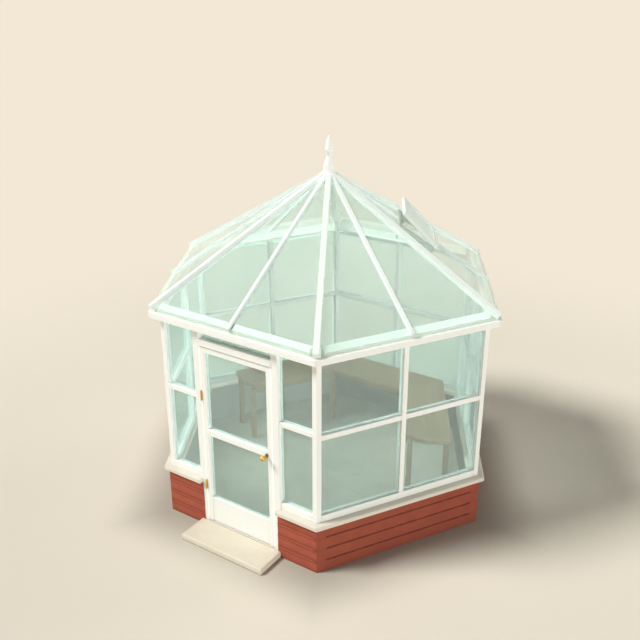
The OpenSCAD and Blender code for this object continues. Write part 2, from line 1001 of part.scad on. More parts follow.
module lock_pinion() {
    turn = 360 / pinion_teeth;
    color("#a08040")
        at_lock() rotate([90, 0, 0])
            linear_extrude(height = pinion_t, center = true)
                difference() {
                    union() {
                        circle(r = root_r, $fn = smooth);
                        for (n = [0 : quarter_teeth])
                            rotate(turn * n) pinion_tooth();
                    }
                    circle(r = spindle_r + run_fit, $fn = smooth);
                }
}

module pinion_tooth() {
    foot = tooth_w / 2 + tooth_taper;
    tip = tooth_w / 2 - tooth_taper;
    polygon([
        [-foot, root_r - over],
        [foot, root_r - over],
        [tip, pitch_r + tooth_half_h],
        [-tip, pitch_r + tooth_half_h]
    ]);
}

module rack_bolt() {
    low = tooth_pitch / 2 - tooth_w / 2 + tooth_taper;
    high = tooth_pitch / 2 - tooth_w / 2 - tooth_taper;
    color("#c8c8c0")
        at_lock() rotate([90, 0, 0])
            linear_extrude(height = bolt_t, center = true)
                difference() {
                    translate([-bolt_tail, bolt_low]) square([bolt_tail + knob_back_set, bolt_h]);
                    for (n = [0 : quarter_teeth])
                        translate([-n * tooth_pitch, 0])
                            polygon([
                                [-low, bolt_low - over],
                                [low, bolt_low - over],
                                [high, pitch_r + tooth_half_h + seat],
                                [-high, pitch_r + tooth_half_h + seat]
                            ]);
                }
}

// Eaves
module eaves_beams() {
    end = half_side(beam_in) - beam_end;
    color("#fffff5")
        for (k = [0 : 5])
            side(k) side_bar(-end, end, beam_section(0));
}

module eaves_fascias() {
    color("#fffff5")
        for (k = [0 : 5])
            side(k) intersection() {
                block(-reach, reach, beam_a, fascia_a, fascia_z, frame_top);
                mitre_wedge(mitre);
            }
}

// Roof glass: each face has two panes, and gap grows them into the grooves that hold them
module roof_half(gap) {
    x0 = bar_w / 2 - glass_bite - gap;
    in_hip = (hip_w / 2 - glass_bite - gap) / cos(30);
    a0 = glass_in_a - gap;
    a1 = beam_a + glass_out;
    polygon([
        roof_point(x0, a0),
        roof_point(x0, a1),
        roof_point(half_side(a1) - in_hip, a1),
        roof_point(half_side(a0) - in_hip, a0)
    ]);
}

module curb_hole(gap) {
    cut = glass_bite + gap;
    translate([cut - curb_x, vent_y + cut]) square([2 * (curb_x - cut), curb_l - 2 * cut]);
}

module roof_glass(k, gap) {
    side(k) on_slope()
        translate([0, 0, -glass_depth - gap])
            linear_extrude(height = glass_t + 2 * gap)
                difference() {
                    for (s = [0, 1])
                        mirror([s, 0]) roof_half(gap);
                    if (k == vent_side_index) curb_hole(gap);
                }
}

module roof_panes() {
    color("#cfe3d8", 0.35)
        for (k = [0 : 5])
            roof_glass(k, 0);
}

module roof_grooves() {
    for (k = [0 : 5])
        roof_glass(k, glass_fit);
}

module boss_clearance() {
    translate([0, 0, boss_z - 2 * boss_h]) cylinder(r = boss_r + seat, h = 4 * boss_h, $fn = smooth);
}

module hip_rafters() {
    color("#fffff5")
        difference() {
            for (k = [0 : 5])
                corner(k) on_hip() translate([0, -hip_w / 2, -hip_d]) cube([hip_tip, hip_w, hip_d]);
            boss_clearance();
            roof_grooves();
        }
}

module roof_bars() {
    end = (beam_a + bar_out) / cos(roof_pitch);
    color("#fffff5")
        difference() {
            for (k = [0 : 5])
                side(k) difference() {
                    on_slope() difference() {
                        translate([-bar_w / 2, -end, -bar_d]) cube([bar_w, end, bar_d]);
                        if (k == vent_side_index)
                            translate([-bar_w, vent_y - seat, -bar_d - over])
                                cube([2 * bar_w, curb_l + 2 * seat, bar_d + 2 * over]);
                    }
                    side_bar(-bar_w, bar_w, beam_section(seat));
                }
            boss_clearance();
            roof_grooves();
        }
}

module ridge_boss() {
    color("#fffff5") translate([0, 0, boss_z - boss_h]) cylinder(r = boss_r, h = boss_h, $fn = smooth);
}

// Turned finial, its outline as radii and shares of its height
module finial() {
    h = finial_h;
    color("#fffff5")
        translate([0, 0, boss_z])
            rotate_extrude($fn = smooth)
                polygon([
                    [0, 0],
                    [finial_foot_r, 0],
                    [finial_foot_r, h * 0.015],
                    [bulb_r * 1.17, h * 0.075],
                    [bulb_r * 1.04, h * 0.14],
                    [bulb_r, h * 0.21],
                    [bulb_r * 0.9, h * 0.28],
                    [bulb_r * 0.68, h * 0.36],
                    [neck_r * 1.14, h * 0.43],
                    [neck_r, h * 0.47],
                    [neck_r * 1.14, h * 0.52],
                    [spire_r * 0.92, h * 0.6],
                    [spire_r, h * 0.65],
                    [spire_r * 0.92, h * 0.71],
                    [spire_r * 0.64, h * 0.84],
                    [tip_r * 2, h * 0.94],
                    [tip_r, h * 0.985],
                    [tip_r / 2, h],
                    [0, h]
                ]);
}

// Roof vent
module curb_block(x0, x1, y0, y1) {
    translate([x0, y0, -curb_d]) cube([x1 - x0, y1 - y0, curb_d]);
}

module vent_curb() {
    inner = curb_x - curb_w;
    color("#fffff5")
        difference() {
            on_vent() {
                curb_block(-curb_x, -inner, 0, curb_l);
                curb_block(inner, curb_x, 0, curb_l);
                curb_block(seat - inner, inner - seat, 0, curb_w);
                curb_block(seat - inner, inner - seat, curb_l - curb_w, curb_l);
            }
            roof_grooves();
        }
}

module vent_light(gap) {
    lap = glass_bite + gap;
    inner = vent_w / 2 - vent_frame + lap;
    translate([-inner, vent_frame - lap, vent_glass_z - glass_t / 2 - gap])
        cube([2 * inner, vent_l - 2 * vent_frame + 2 * lap, glass_t + 2 * gap]);
}

module vent_stiles() {
    color("#fffff5")
        swung_vent() difference() {
            for (s = [0, 1])
                mirror([s, 0, 0])
                    translate([vent_w / 2 - vent_frame, 0, vent_seat]) cube([vent_frame, vent_l, vent_t]);
            vent_light(glass_fit);
        }
}

module vent_rails() {
    inner = vent_w / 2 - vent_frame;
    color("#fffff5")
        swung_vent() difference() {
            for (y = [0, vent_l - vent_frame])
                translate([-inner, y, vent_seat]) cube([2 * inner, vent_frame, vent_t]);
            vent_light(glass_fit);
        }
}

module vent_glass() {
    color("#e0e4de", 0.6) swung_vent() vent_light(0);
}

module at_vent_hinges() {
    for (s = [-1, 1])
        translate([s * vent_hinge_x, vent_hinge_y, 0]) rotate([0, 90, 0]) children();
}

// The hinge leaf's own frame lies along its pin, so it is turned to lie on the vent's edge
module vent_leaf(s, first) {
    at_vent_hinges()
        rotate([0, 0, s > 0 ? 90 : -90])
            hinge_leaf(s, vent_hinge_l, vent_knuckles, first, vent_knuckle_r, vent_pin_r, vent_leaf_w,
                       vent_knuckle_r, vent_knuckle_r);
}

module vent_curb_hinges() {
    color("#d8a93a") on_vent() vent_leaf(-1, 0);
}

module vent_sash_hinges() {
    color("#d8a93a") swung_vent() vent_leaf(1, 1);
}

module vent_hinge_pins() {
    color("#c79a2e")
        on_vent() at_vent_hinges() cylinder(r = vent_pin_r, h = vent_hinge_l, center = true, $fn = smooth);
}

// Stay: an arc about the hinges' axis, between angles measured down from the closed vent
module stay_arc(gap, from, to) {
    far = stay_r * 2;
    translate([0, vent_hinge_y, 0])
        rotate([90, 0, 90])
            linear_extrude(height = stay_t + 2 * gap, center = true)
                intersection() {
                    difference() {
                        circle(r = stay_r + stay_w / 2 + gap, $fn = smooth * 2);
                        circle(r = stay_r - stay_w / 2 - gap, $fn = smooth * 2);
                    }
                    polygon([[0, 0], [far * cos(from), far * sin(from)], [far * cos(to), far * sin(to)]]);
                }
}

module vent_stay() {
    arm_z = vent_seat + arm_gap;
    arm_h = vent_t / 2 - glass_t / 2 - 2 * arm_gap;
    inner_y = vent_l - vent_frame;
    start_y = vent_hinge_y + stay_r - stay_w / 4;
    color("#d8a93a")
        swung_vent() {
            stay_arc(0, -vent_travel - stay_past, 1);
            translate([-stay_t / 2, start_y, arm_z]) cube([stay_t, inner_y - start_y, arm_h]);
            translate([-guide_x, inner_y - stay_foot_t, arm_z]) cube([2 * guide_x, stay_foot_t, arm_h]);
        }
}

module stay_guide() {
    color("#d8a93a")
        on_vent() difference() {
            translate([-guide_x, guide_y0, -guide_h - guide_drop]) cube([2 * guide_x, guide_l, guide_h]);
            stay_arc(seat, -vent_travel, 2 * stay_past);
            at_clamp() cylinder(r = clamp_r + run_fit, h = 2 * guide_x, $fn = smooth);
        }
}

module at_clamp() {
    translate([stay_t / 2 + seat, clamp_y, clamp_z]) rotate([0, 90, 0]) children();
}

module stay_screw() {
    head_at = guide_x - stay_t / 2;
    color("#c79a2e")
        on_vent() at_clamp() {
            cylinder(r = clamp_r, h = head_at + over, $fn = smooth);
            translate([0, 0, head_at]) cylinder(r = clamp_head_r, h = clamp_head_t, $fn = smooth);
        }
}

// Bench along the three back sides
module bench_top(k, x0, x1) {
    side(k) intersection() {
        block(x0, x1, bench_front, bench_back, bench_under, bench_z);
        mitre_wedge(mitre);
    }
}

module bench_tops() {
    color("#b99b6b") {
        bench_top(2, -bench_right, wall_r);
        bench_top(3, -wall_r, wall_r);
        bench_top(4, -wall_r, bench_left);
    }
}

module bench_leg() {
    translate([-leg_w / 2, -leg_w / 2, slab_h]) cube([leg_w, leg_w, bench_under - slab_h]);
}

module bench_legs() {
    color("#a98a5c")
        for (a = [leg_front, leg_back]) {
            side(2) translate([leg_inset - bench_right, -a, 0]) bench_leg();
            side(4) translate([bench_left - leg_inset, -a, 0]) bench_leg();
            for (k = [2, 3])
                corner(k) translate([a / cos(30), 0, 0]) bench_leg();
        }
}

module bench_rail(k, x0, x1, a) {
    half_t = bench_rail_t / 2;
    side(k) block(x0, x1, a - half_t, a + half_t, bench_under - bench_rail_h, bench_under);
}

// A corner leg stands turned by 30 degrees to the rails that meet it
module bench_rails() {
    at_corner = leg_w / 2 * (cos(30) + sin(30)) + seat;
    at_end = leg_inset + leg_w / 2;
    color("#b09062")
        for (a = [leg_front, leg_back]) {
            bench_rail(2, at_end - bench_right, half_side(a) - at_corner, a);
            bench_rail(3, at_corner - half_side(a), half_side(a) - at_corner, a);
            bench_rail(4, at_corner - half_side(a), bench_left - at_end, a);
        }
}

floor_slab();
door_step();
threshold();
wall_stub(-1);  // wall_front_left
wall_stub(1);  // wall_front_right
wall_side(1);  // wall_right_front
wall_side(2);  // wall_right_back
wall_side(3);  // wall_back
wall_side(4);  // wall_left_back
wall_side(5);  // wall_left_front
bed_joints();
coping_front();
coping_sides();
corner_posts();
sill_rails();
mullions();
mid_rails();
head_rails();
side_panes();
front_panes();
door_posts();
door_head();
door_stops();
keep_plate();
door_stiles();
door_rails();
kick_panel();
door_panes();
hinge_frame_leaves();
hinge_door_leaves();
door_hinge_pins();
frame_screws();
leaf_screws();
lock_case();
knob_roses();
outer_knob();
inner_knob();
knob_spindle();
lock_pinion();
rack_bolt();
eaves_beams();
eaves_fascias();
hip_rafters();
roof_bars();
roof_panes();
ridge_boss();
finial();
vent_curb();
vent_stiles();
vent_rails();
vent_glass();
vent_curb_hinges();
vent_sash_hinges();
vent_hinge_pins();
vent_stay();
stay_guide();
stay_screw();
bench_tops();
bench_legs();
bench_rails();
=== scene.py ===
"""Hexagonal greenhouse: the dressed pieces, finishes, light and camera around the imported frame."""
import logging
import math
from dataclasses import dataclass
from enum import Enum
from typing import Iterable, Sequence

import bpy
import numpy as np
from mathutils import Matrix, Vector


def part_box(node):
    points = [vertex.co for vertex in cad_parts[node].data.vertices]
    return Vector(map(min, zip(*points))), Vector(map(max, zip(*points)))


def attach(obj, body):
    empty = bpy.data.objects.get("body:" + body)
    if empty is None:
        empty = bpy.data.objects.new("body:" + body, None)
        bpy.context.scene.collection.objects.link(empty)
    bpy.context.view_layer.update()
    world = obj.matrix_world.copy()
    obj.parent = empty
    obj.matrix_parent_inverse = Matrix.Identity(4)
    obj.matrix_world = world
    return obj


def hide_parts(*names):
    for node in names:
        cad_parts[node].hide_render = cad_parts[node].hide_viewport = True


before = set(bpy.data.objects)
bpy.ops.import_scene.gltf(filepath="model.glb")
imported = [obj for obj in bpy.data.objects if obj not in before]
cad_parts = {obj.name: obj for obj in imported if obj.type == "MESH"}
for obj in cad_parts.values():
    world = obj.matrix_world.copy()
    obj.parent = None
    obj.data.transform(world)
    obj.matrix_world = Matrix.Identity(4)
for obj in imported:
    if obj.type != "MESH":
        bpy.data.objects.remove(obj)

log = logging.getLogger("greenhouse")
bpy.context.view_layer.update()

Colour = tuple[float, float, float, float]
Rings = tuple[tuple[float, float], ...]
Material = bpy.types.Material
Piece = bpy.types.Object
Socket = bpy.types.NodeSocket
Node = bpy.types.Node
Tree = bpy.types.NodeTree
Outputs = bpy.types.bpy_prop_collection

UP = (0.0, 0.0, 1.0)

# Mesh work: distances in metres, angles in radians.
MERGE_DISTANCE = 0.00002
NARROW_FACE = 0.0095
THINNEST_RING = 0.0004
FLAT_ANGLE = math.radians(0.5)
SHARP_ANGLE = math.radians(25)
SMOOTH_ANGLE = math.radians(40)
TURNED_ANGLE = math.radians(38)

# Marking of members: when one counts as upright or as central, and how tones are dealt out.
UPRIGHT_SINE = 0.2
CENTRAL_DISTANCE = 0.01
TONE_STEP = 0.618034

# How far inside the panes' outer face the painted shade on the room side of the frames begins.
ROOM_SHADE_SETBACK = 0.002


class Part(Enum):
    """Bodies that the new pieces ride on."""

    BUILDING = "frame"
    DOOR = "door"
    KNOB = "door_knob"
    VENT = "roof_vent"


def tint(code: str) -> Colour:
    """Turns a written colour into the linear values that shaders use.

    Args:
        code: Six hexadecimal digits, red first.

    Returns:
        Red, green, blue and an alpha of one.
    """
    parts = [int(code[i:i + 2], 16) / 255 for i in (0, 2, 4)]
    linear = [p / 12.92 if p <= 0.04045 else ((p + 0.055) / 1.055) ** 2.4 for p in parts]
    return (linear[0], linear[1], linear[2], 1.0)


@dataclass
class Wiring:
    """A node tree that is being wired, for a material, a world or a shared group."""

    tree: Tree

    def feed(self, socket: Socket, value: object) -> None:
        """Links an input to the socket that feeds it, or sets its plain value.

        Args:
            socket: The input.
            value: Socket or plain value.
        """
        if isinstance(value, Socket):
            self.tree.links.new(value, socket)
        else:
            socket.default_value = value

    def add(self, kind: str, sockets: dict | None = None, **settings: object) -> Node:
        """Adds a node.

        Args:
            kind: The node's type.
            sockets: Input name or number to a plain value or to the socket that feeds it.
            settings: The node's own properties.

        Returns:
            The new node.
        """
        node = self.tree.nodes.new(kind)
        for name, value in settings.items():
            setattr(node, name, value)
        for name, value in (sockets or {}).items():
            self.feed(node.inputs[name], value)
        return node

    def math(self, operation: str, a: object, b: object = 0.0, clamp: bool = False) -> Socket:
        """Does one sum on two values, and holds it between zero and one if asked."""
        node = self.add("ShaderNodeMath", {0: a, 1: b}, operation=operation, use_clamp=clamp)
        return node.outputs[0]

    def vector(self, operation: str, a: object, b: object = (0.0, 0.0, 0.0)) -> Socket:
        """Does one sum on two vectors."""
        return self.add("ShaderNodeVectorMath", {0: a, 1: b}, operation=operation).outputs[0]

    def blend(self, share: object, a: object, b: object, way: str = "MIX") -> Socket:
        """Mixes two colours, where the share says how much of the second one shows."""
        return self.add("ShaderNodeMix", {0: share, 6: a, 7: b}, data_type="RGBA",
                        blend_type=way, clamp_factor=True).outputs[2]

    def spread(self, value: object, low: float, high: float, to_low: float = 0.0,
               to_high: float = 1.0) -> Socket:
        """Maps the range from low to high onto another one, with soft ends."""
        return self.add("ShaderNodeMapRange", {0: value, 1: low, 2: high, 3: to_low, 4: to_high},
                        interpolation_type="SMOOTHSTEP").outputs[0]

    def noise(self, place: object, scale: object, detail: float = 4.0,
              rough: float = 0.55) -> Socket:
        """Adds a noise whose scale is its number of features in a metre."""
        sockets = {"Vector": place, "Scale": scale, "Detail": detail, "Roughness": rough}
        return self.add("ShaderNodeTexNoise", sockets).outputs["Fac"]

    def streaks(self, place: object, scales: Sequence[float], detail: float = 4.0,
                rough: float = 0.55) -> Socket:
        """Adds a noise that has its own scale along each axis."""
        return self.noise(self.vector("MULTIPLY", place, tuple(scales)), 1.0, detail, rough)

    def axis(self, place: object, number: int) -> Socket:
        """Takes one of a vector's three numbers."""
        return self.add("ShaderNodeSeparateXYZ", {0: place}).outputs[number]

    def group(self, shared: Tree, sockets: dict) -> Outputs:
        """Places a shared group and gives its outputs."""
        return self.add("ShaderNodeGroup", sockets, node_tree=shared).outputs

    def seen(self) -> Socket:
        """Tells the rays that come from the eye, straight or by way of glass or polish.

        Returns:
            One for such a ray and zero for any other.
        """
        rays = self.add("ShaderNodeLightPath").outputs
        sharp = self.math("ADD", rays["Is Camera Ray"], rays["Is Glossy Ray"])
        direct = self.math("ADD", sharp, rays["Is Transmission Ray"], clamp=True)
        first = self.math("LESS_THAN", rays["Diffuse Depth"], 0.5)
        return self.math("MULTIPLY", direct, first)


class SharedEffects:
    """Shader groups that several finishes place with their own values."""

    def __init__(self) -> None:
        """Builds every group once."""
        self.brushed = self._brushed()
        self.edges = self._edges()
        self.mottle = self._mottle()
        self.splash = self._splash()
        self.reach = self._reach()

    @staticmethod
    def _start(name: str, inputs: dict[str, float | None], outputs: Sequence[str]) -> tuple:
        """Starts a group with its sockets.

        Args:
            name: Name of the group.
            inputs: Name of each input to its default, or to None for a vector.
            outputs: Names of the outputs, all plain values.

        Returns:
            The wiring, the sockets with what is given and the sockets of the results.
        """
        tree = bpy.data.node_groups.new(name, "ShaderNodeTree")
        for label, default in inputs.items():
            kind = "NodeSocketVector" if default is None else "NodeSocketFloat"
            socket = tree.interface.new_socket(name=label, in_out="INPUT", socket_type=kind)
            if default is not None:
                socket.default_value = default
        for label in outputs:
            tree.interface.new_socket(name=label, in_out="OUTPUT", socket_type="NodeSocketFloat")
        wires = Wiring(tree)
        given, made = wires.add("NodeGroupInput"), wires.add("NodeGroupOutput")
        return wires, given.outputs, made.inputs

    def _brushed(self) -> Tree:
        """Long streaks along a member: brush marks in paint, or the grain of bare timber.

        Returns:
            The group.
        """
        wires, given, made = self._start("brushed", {"Place": None}, ("Streak", "Fine"))
        wide = wires.streaks(given["Place"], (1.6, 40.0, 40.0), 5.0, 0.6)
        fine = wires.streaks(given["Place"], (6.0, 260.0, 260.0), 3.0, 0.6)
        wires.feed(made["Streak"], wires.spread(wide, 0.32, 0.68))
        wires.feed(made["Fine"], fine)
        return wires.tree

    def _edges(self) -> Tree:
        """Masks for a member's long edges and for its ends, from its own coordinates.

        Returns:
            The group.
        """
        wires, given, made = self._start(
            "member_edges", {"Place": None, "Half": None, "Width": 0.003, "Reach": 0.04},
            ("Edge", "End"))
        left = wires.vector("SUBTRACT", given["Half"], wires.vector("ABSOLUTE", given["Place"]))
        parts = wires.add("ShaderNodeSeparateXYZ", {0: left}).outputs
        total, least, most = (
            wires.math(way, wires.math(way, parts[0], parts[1]), parts[2])
            for way in ("ADD", "MINIMUM", "MAXIMUM"))
        middle = wires.math("SUBTRACT", wires.math("SUBTRACT", total, least), most)
        ragged = wires.noise(given["Place"], 60.0, 4.0, 0.65)
        near = wires.math("DIVIDE", middle, given["Width"])
        edge = wires.math("SUBTRACT", wires.math("MULTIPLY", ragged, 2.2), near, clamp=True)
        far = wires.math("DIVIDE", parts[0], given["Reach"])
        end = wires.math("SUBTRACT", 1.0, far, clamp=True)
        wires.feed(made["Edge"], edge)
        wires.feed(made["End"], wires.math("MULTIPLY", end, ragged))
        return wires.tree

    def _mottle(self) -> Tree:
        """Cloudy change of tone, small specks and a fine height for stone, brick and concrete.

        Returns:
            The group.
        """
        wires, given, made = self._start(
            "mottle", {"Place": None, "Cloud size": 6.0, "Speck size": 220.0},
            ("Cloud", "Speck", "Height"))
        cloud = wires.noise(given["Place"], given["Cloud size"], 5.0, 0.6)
        grit = wires.add("ShaderNodeTexVoronoi", {
            "Vector": given["Place"], "Scale": given["Speck size"]}).outputs
        chance = wires.add("ShaderNodeSeparateColor", {0: grit["Color"]}).outputs[0]
        chosen = wires.math("GREATER_THAN", chance, 0.72)
        speck = wires.math("MULTIPLY", wires.spread(grit["Distance"], 0.45, 0.15), chosen)
        fine = wires.math("MULTIPLY", wires.noise(given["Place"], 420.0, 3.0, 0.7), 0.6)
        wires.feed(made["Cloud"], wires.spread(cloud, 0.3, 0.7))
        wires.feed(made["Speck"], speck)
        wires.feed(made["Height"], wires.math("SUBTRACT", fine, wires.math("MULTIPLY", speck, 0.4)))
        return wires.tree

    def _splash(self) -> Tree:
        """Dirt that rises from a level: strongest at the ground and ragged above.

        Returns:
            The group.
        """
        wires, given, made = self._start(
            "splash", {"Place": None, "Level": 0.0, "Rise": 0.15}, ("Dirt",))
        up = wires.math("SUBTRACT", wires.axis(given["Place"], 2), given["Level"])
        above = wires.math("DIVIDE", up, given["Rise"])
        ragged = wires.math("MULTIPLY", wires.noise(given["Place"], 9.0, 6.0, 0.65), 1.8)
        wires.feed(made["Dirt"], wires.math("SUBTRACT", ragged, above, clamp=True))
        return wires.tree

    def _reach(self) -> Tree:
        """How far out a point lies in the hexagon, square to the side that it is nearest to.

        Returns:
            The group.
        """
        wires, given, made = self._start("hexagon_reach", {"Place": None}, ("Reach",))
        furthest = None
        for turn in (90, 30, -30):
            normal = (math.cos(math.radians(turn)), math.sin(math.radians(turn)), 0.0)
            along = wires.add("ShaderNodeVectorMath", {0: given["Place"], 1: normal},
                              operation="DOT_PRODUCT")
            out = wires.math("ABSOLUTE", along.outputs["Value"])
            furthest = out if furthest is None else wires.math("MAXIMUM", furthest, out)
        wires.feed(made["Reach"], furthest)
        return wires.tree


class Surface(Wiring):
    """A material's tree with its shader, the shared groups and its colour as far as it goes."""

    def __init__(self, tree: Tree, effects: SharedEffects) -> None:
        """Starts the tree.

        Args:
            tree: The material's empty tree.
            effects: The shared shader groups.
        """
        super().__init__(tree)
        self.effects = effects
        self.shader = self.add("ShaderNodeBsdfPrincipled")
        self.add("ShaderNodeOutputMaterial", {"Surface": self.shader.outputs[0]})
        self.place = self.add("ShaderNodeTexCoord").outputs["Object"]
        self.body: object = None

    def own(self, name: str, output: str = "Vector") -> Socket:
        """Reads an attribute of the piece's own mesh."""
        return self.add("ShaderNodeAttribute", attribute_name=name).outputs[output]

    def brush(self) -> Outputs:
        """Places the streaks that run along each member."""
        return self.group(self.effects.brushed, {"Place": self.own("member")})

    def edges(self, width: float, reach: float) -> Outputs:
        """Places the worn edges and ends, with the width and the reach of the wear in metres."""
        return self.group(self.effects.edges, {
            "Place": self.own("member"), "Half": self.own("half"), "Width": width, "Reach": reach})

    def mottle(self, cloud: float, speck: float) -> Outputs:
        """Places the mottle, with the number of clouds and of specks in a metre."""
        return self.group(self.effects.mottle, {
            "Place": self.place, "Cloud size": cloud, "Speck size": speck})

    def splash(self, level: float, rise: float) -> Socket:
        """Places the dirt that rises so far from a level, both in metres."""
        return self.group(self.effects.splash, {
            "Place": self.place, "Level": level, "Rise": rise})["Dirt"]

    def reach(self) -> Socket:
        """Places the measure of how far out a point lies."""
        return self.group(self.effects.reach, {"Place": self.place})["Reach"]

    def stain(self, code: str, *layers: tuple[Socket, float]) -> None:
        """Turns the colour towards a written one, layer by layer.

        Args:
            code: The written colour.
            layers: The mask of each layer, and how much of the written colour a full mask lets in.
        """
        for mask, amount in layers:
            share = self.math("MULTIPLY", mask, amount)
            self.body = self.blend(share, self.body, tint(code))

    def close(self, rough: object, height: Socket, relief: float, strength: float = 1.0) -> None:
        """Feeds the surface shader.

        Args:
            rough: Socket or value of the roughness.
            height: Socket of the relief's height.
            relief: Depth of the relief in metres.
            strength: Strength of the relief.
        """
        bump = self.add("ShaderNodeBump", {
            "Height": height, "Distance": relief, "Strength": strength}).outputs[0]
        for name, value in (("Base Color", self.body), ("Roughness", rough), ("Normal", bump)):
            self.feed(self.shader.inputs[name], value)


@dataclass(frozen=True)
class Finish:
    """What every finish has: the name of its material, and a coat that is wired on it."""

    name: str

    def coat(self, on: Surface) -> None:
        """Wires the finish's own look."""
        raise NotImplementedError

    def material(self, effects: SharedEffects) -> Material:
        """Makes the material.

        Args:
            effects: The shared shader groups.

        Returns:
            The finished material.
        """
        material = bpy.data.materials.new(self.name)
        material.use_nodes = True
        material.node_tree.nodes.clear()
        self.coat(Surface(material.node_tree, effects))
        return material


@dataclass(frozen=True)
class PaintedTimber(Finish):
    """Satin paint with faint brush marks along each member.

    It can carry painted shade on the room's side of the glass, more so towards the back, and painted
    shade towards the front.
    """

    colour: str = "F9FBF5"
    shade: str = "EEEFE6"
    worn: str = "DDDBCC"
    # Painted shade on the room's side of the glass: its colour, where it begins and how it grows
    # towards the back.
    room: str = "C8CCC9"
    room_shade_line: float = 0.0
    room_shade_from: float = -1.3
    room_shade_to: float = 0.4
    # Painted shade towards the front: its share, where it starts and where it is full.
    front_shade: float = 0.0
    front_shade_from: float = -1.1
    front_shade_to: float = -1.4

    def coat(self, on: Surface) -> None:
        """Wires the paint, its brush marks and its worn edges.

        Args:
            on: The surface.
        """
        brush, edges = on.brush(), on.edges(0.0022, 0.05)
        cloud = on.spread(on.noise(on.place, 3.0), 0.45, 0.75)
        on.body = tint(self.colour)
        on.stain(self.shade, (brush["Streak"], 0.14), (on.own("tone", "Fac"), 0.16), (cloud, 0.12))
        on.stain(self.worn, (edges["End"], 0.45), (edges["Edge"], 0.3))
        # Painted shade: faces on the room's side of the glass turn greyer, more so towards the back.
        if self.room_shade_line > 0.0:
            indoors = on.math("LESS_THAN", on.reach(), self.room_shade_line)
            behind = on.spread(on.axis(on.place, 1), self.room_shade_from, self.room_shade_to)
            share = on.math("MULTIPLY", indoors, behind)
            on.body = on.blend(share, on.body, tint(self.room), "MULTIPLY")
        # Painted shade: the front turns towards the worn colour, damping faces that take strong
        # light.
        if self.front_shade > 0.0:
            ahead = on.spread(on.axis(on.place, 1), self.front_shade_from, self.front_shade_to)
            on.stain(self.worn, (ahead, self.front_shade))
        height = on.math("ADD", brush["Streak"], on.math("MULTIPLY", brush["Fine"], 0.5))
        on.close(on.spread(brush["Fine"], 0.2, 0.8, 0.36, 0.5), height, 0.0004, 0.5)


@dataclass(frozen=True)
class Masonry(Finish):
    """Red sand-faced masonry with painted shade towards its joints, and a grey render to the room
    whose darkness is partly painted shade.
    """

    colour: str
    light: str
    dark: str
    # Grey render for the room's side, made darker than the render itself as painted shade.
    render: str = "8D9189"
    render_dark: Colour = (0.36, 0.37, 0.33, 1.0)
    inner_face: float = 1.373
    first_joint: float = 0.1125
    course: float = 0.1215
    bulge: float = 0.0
    # Painted shade: how strongly and over how much of each course the brick darkens towards its
    # joints.
    seam_shade: float = 0.12
    seam_shade_width: float = 0.55

    def coat(self, on: Surface) -> None:
        """Wires the courses, the painted shade at the joints, the patches and the render.

        Args:
            on: The surface.
        """
        above = on.math("SUBTRACT", on.axis(on.place, 2), self.first_joint)
        turn = on.math("ADD", on.math("DIVIDE", above, self.course), 10.0)
        belly = on.math("SINE", on.math("MULTIPLY", on.math("FRACT", turn), math.pi))
        mottle = on.mottle(7.0, 260.0)
        patches = on.streaks(on.place, (5.0, 5.0, 16.0), 4.0, 0.6)
        on.body = on.blend(mottle["Cloud"], tint(self.colour), tint(self.light))
        # Patches, specks and dirt at the foot are the brick's own; the seam term is painted shade
        # towards each joint.
        on.stain(self.dark, (on.spread(patches, 0.5, 0.75), 0.22), (mottle["Speck"], 0.35),
                 (on.spread(belly, self.seam_shade_width, 0.05), self.seam_shade), (on.splash(0.0, 0.09), 0.3))
        # The room's side gets the grey render, whose darkness is partly painted shade.
        trowel = on.math("MULTIPLY", mottle["Cloud"], 0.4)
        render = on.blend(trowel, tint(self.render), self.render_dark)
        inside = on.math("LESS_THAN", on.reach(), self.inner_face)
        on.body = on.blend(inside, on.body, render)
        fine = on.math("MULTIPLY", mottle["Height"], 0.0007)
        height = on.math("ADD", fine, on.math("MULTIPLY", belly, self.bulge))
        on.close(0.86, height, 1.0)


@dataclass(frozen=True)
class BedJoint(Finish):
    """Dark red joint strips, lightened on the door's side as painted light against the shade in
    their grooves.
    """

    colour: str = "6C2C1D"
    soft: str = "AE5840"
    door_side: float = -1.45

    def coat(self, on: Surface) -> None:
        """Wires the two tones of the joints.

        Args:
            on: The surface.
        """
        # Painted light: strips on the door's side take a lighter tone that lifts the shade in their
        # grooves.
        front = on.math("LESS_THAN", on.axis(on.place, 1), self.door_side)
        mottle = on.mottle(14.0, 300.0)
        on.body = on.blend(front, tint(self.colour), tint(self.soft))
        on.stain(self.soft, (mottle["Cloud"], 0.3))
        on.close(0.9, mottle["Height"], 0.0006)


@dataclass(frozen=True)
class CastStone(Finish):
    """Cream cast stone with fine pores, worn edges and a painted contact shadow along its foot."""

    colour: str = "DFD5BF"
    light: str = "E5DCC8"
    dark: str = "C0B69F"
    # Painted contact shadow: the colour of the dark line at the ground, and the heights where it
    # fades and is full.
    foot: str = "6B6353"
    foot_shade_top: float = 0.011
    foot_shade_full: float = 0.004

    def coat(self, on: Surface) -> None:
        """Wires the pores, the wear and the painted shadow at the foot.

        Args:
            on: The surface.
        """
        mottle, edges = on.mottle(5.0, 190.0), on.edges(0.004, 0.03)
        on.body = on.blend(mottle["Cloud"], tint(self.colour), tint(self.light))
        on.stain(self.dark, (mottle["Speck"], 0.4), (edges["Edge"], 0.25), (edges["End"], 0.3),
                 (on.splash(0.0, 0.03), 0.5))
        # Painted contact shadow along the bottom edge.
        line = on.spread(on.axis(on.place, 2), self.foot_shade_top, self.foot_shade_full)
        on.stain(self.foot, (line, 0.75))
        on.close(on.spread(mottle["Cloud"], 0.0, 1.0, 0.72, 0.82), mottle["Height"], 0.0008, 0.8)


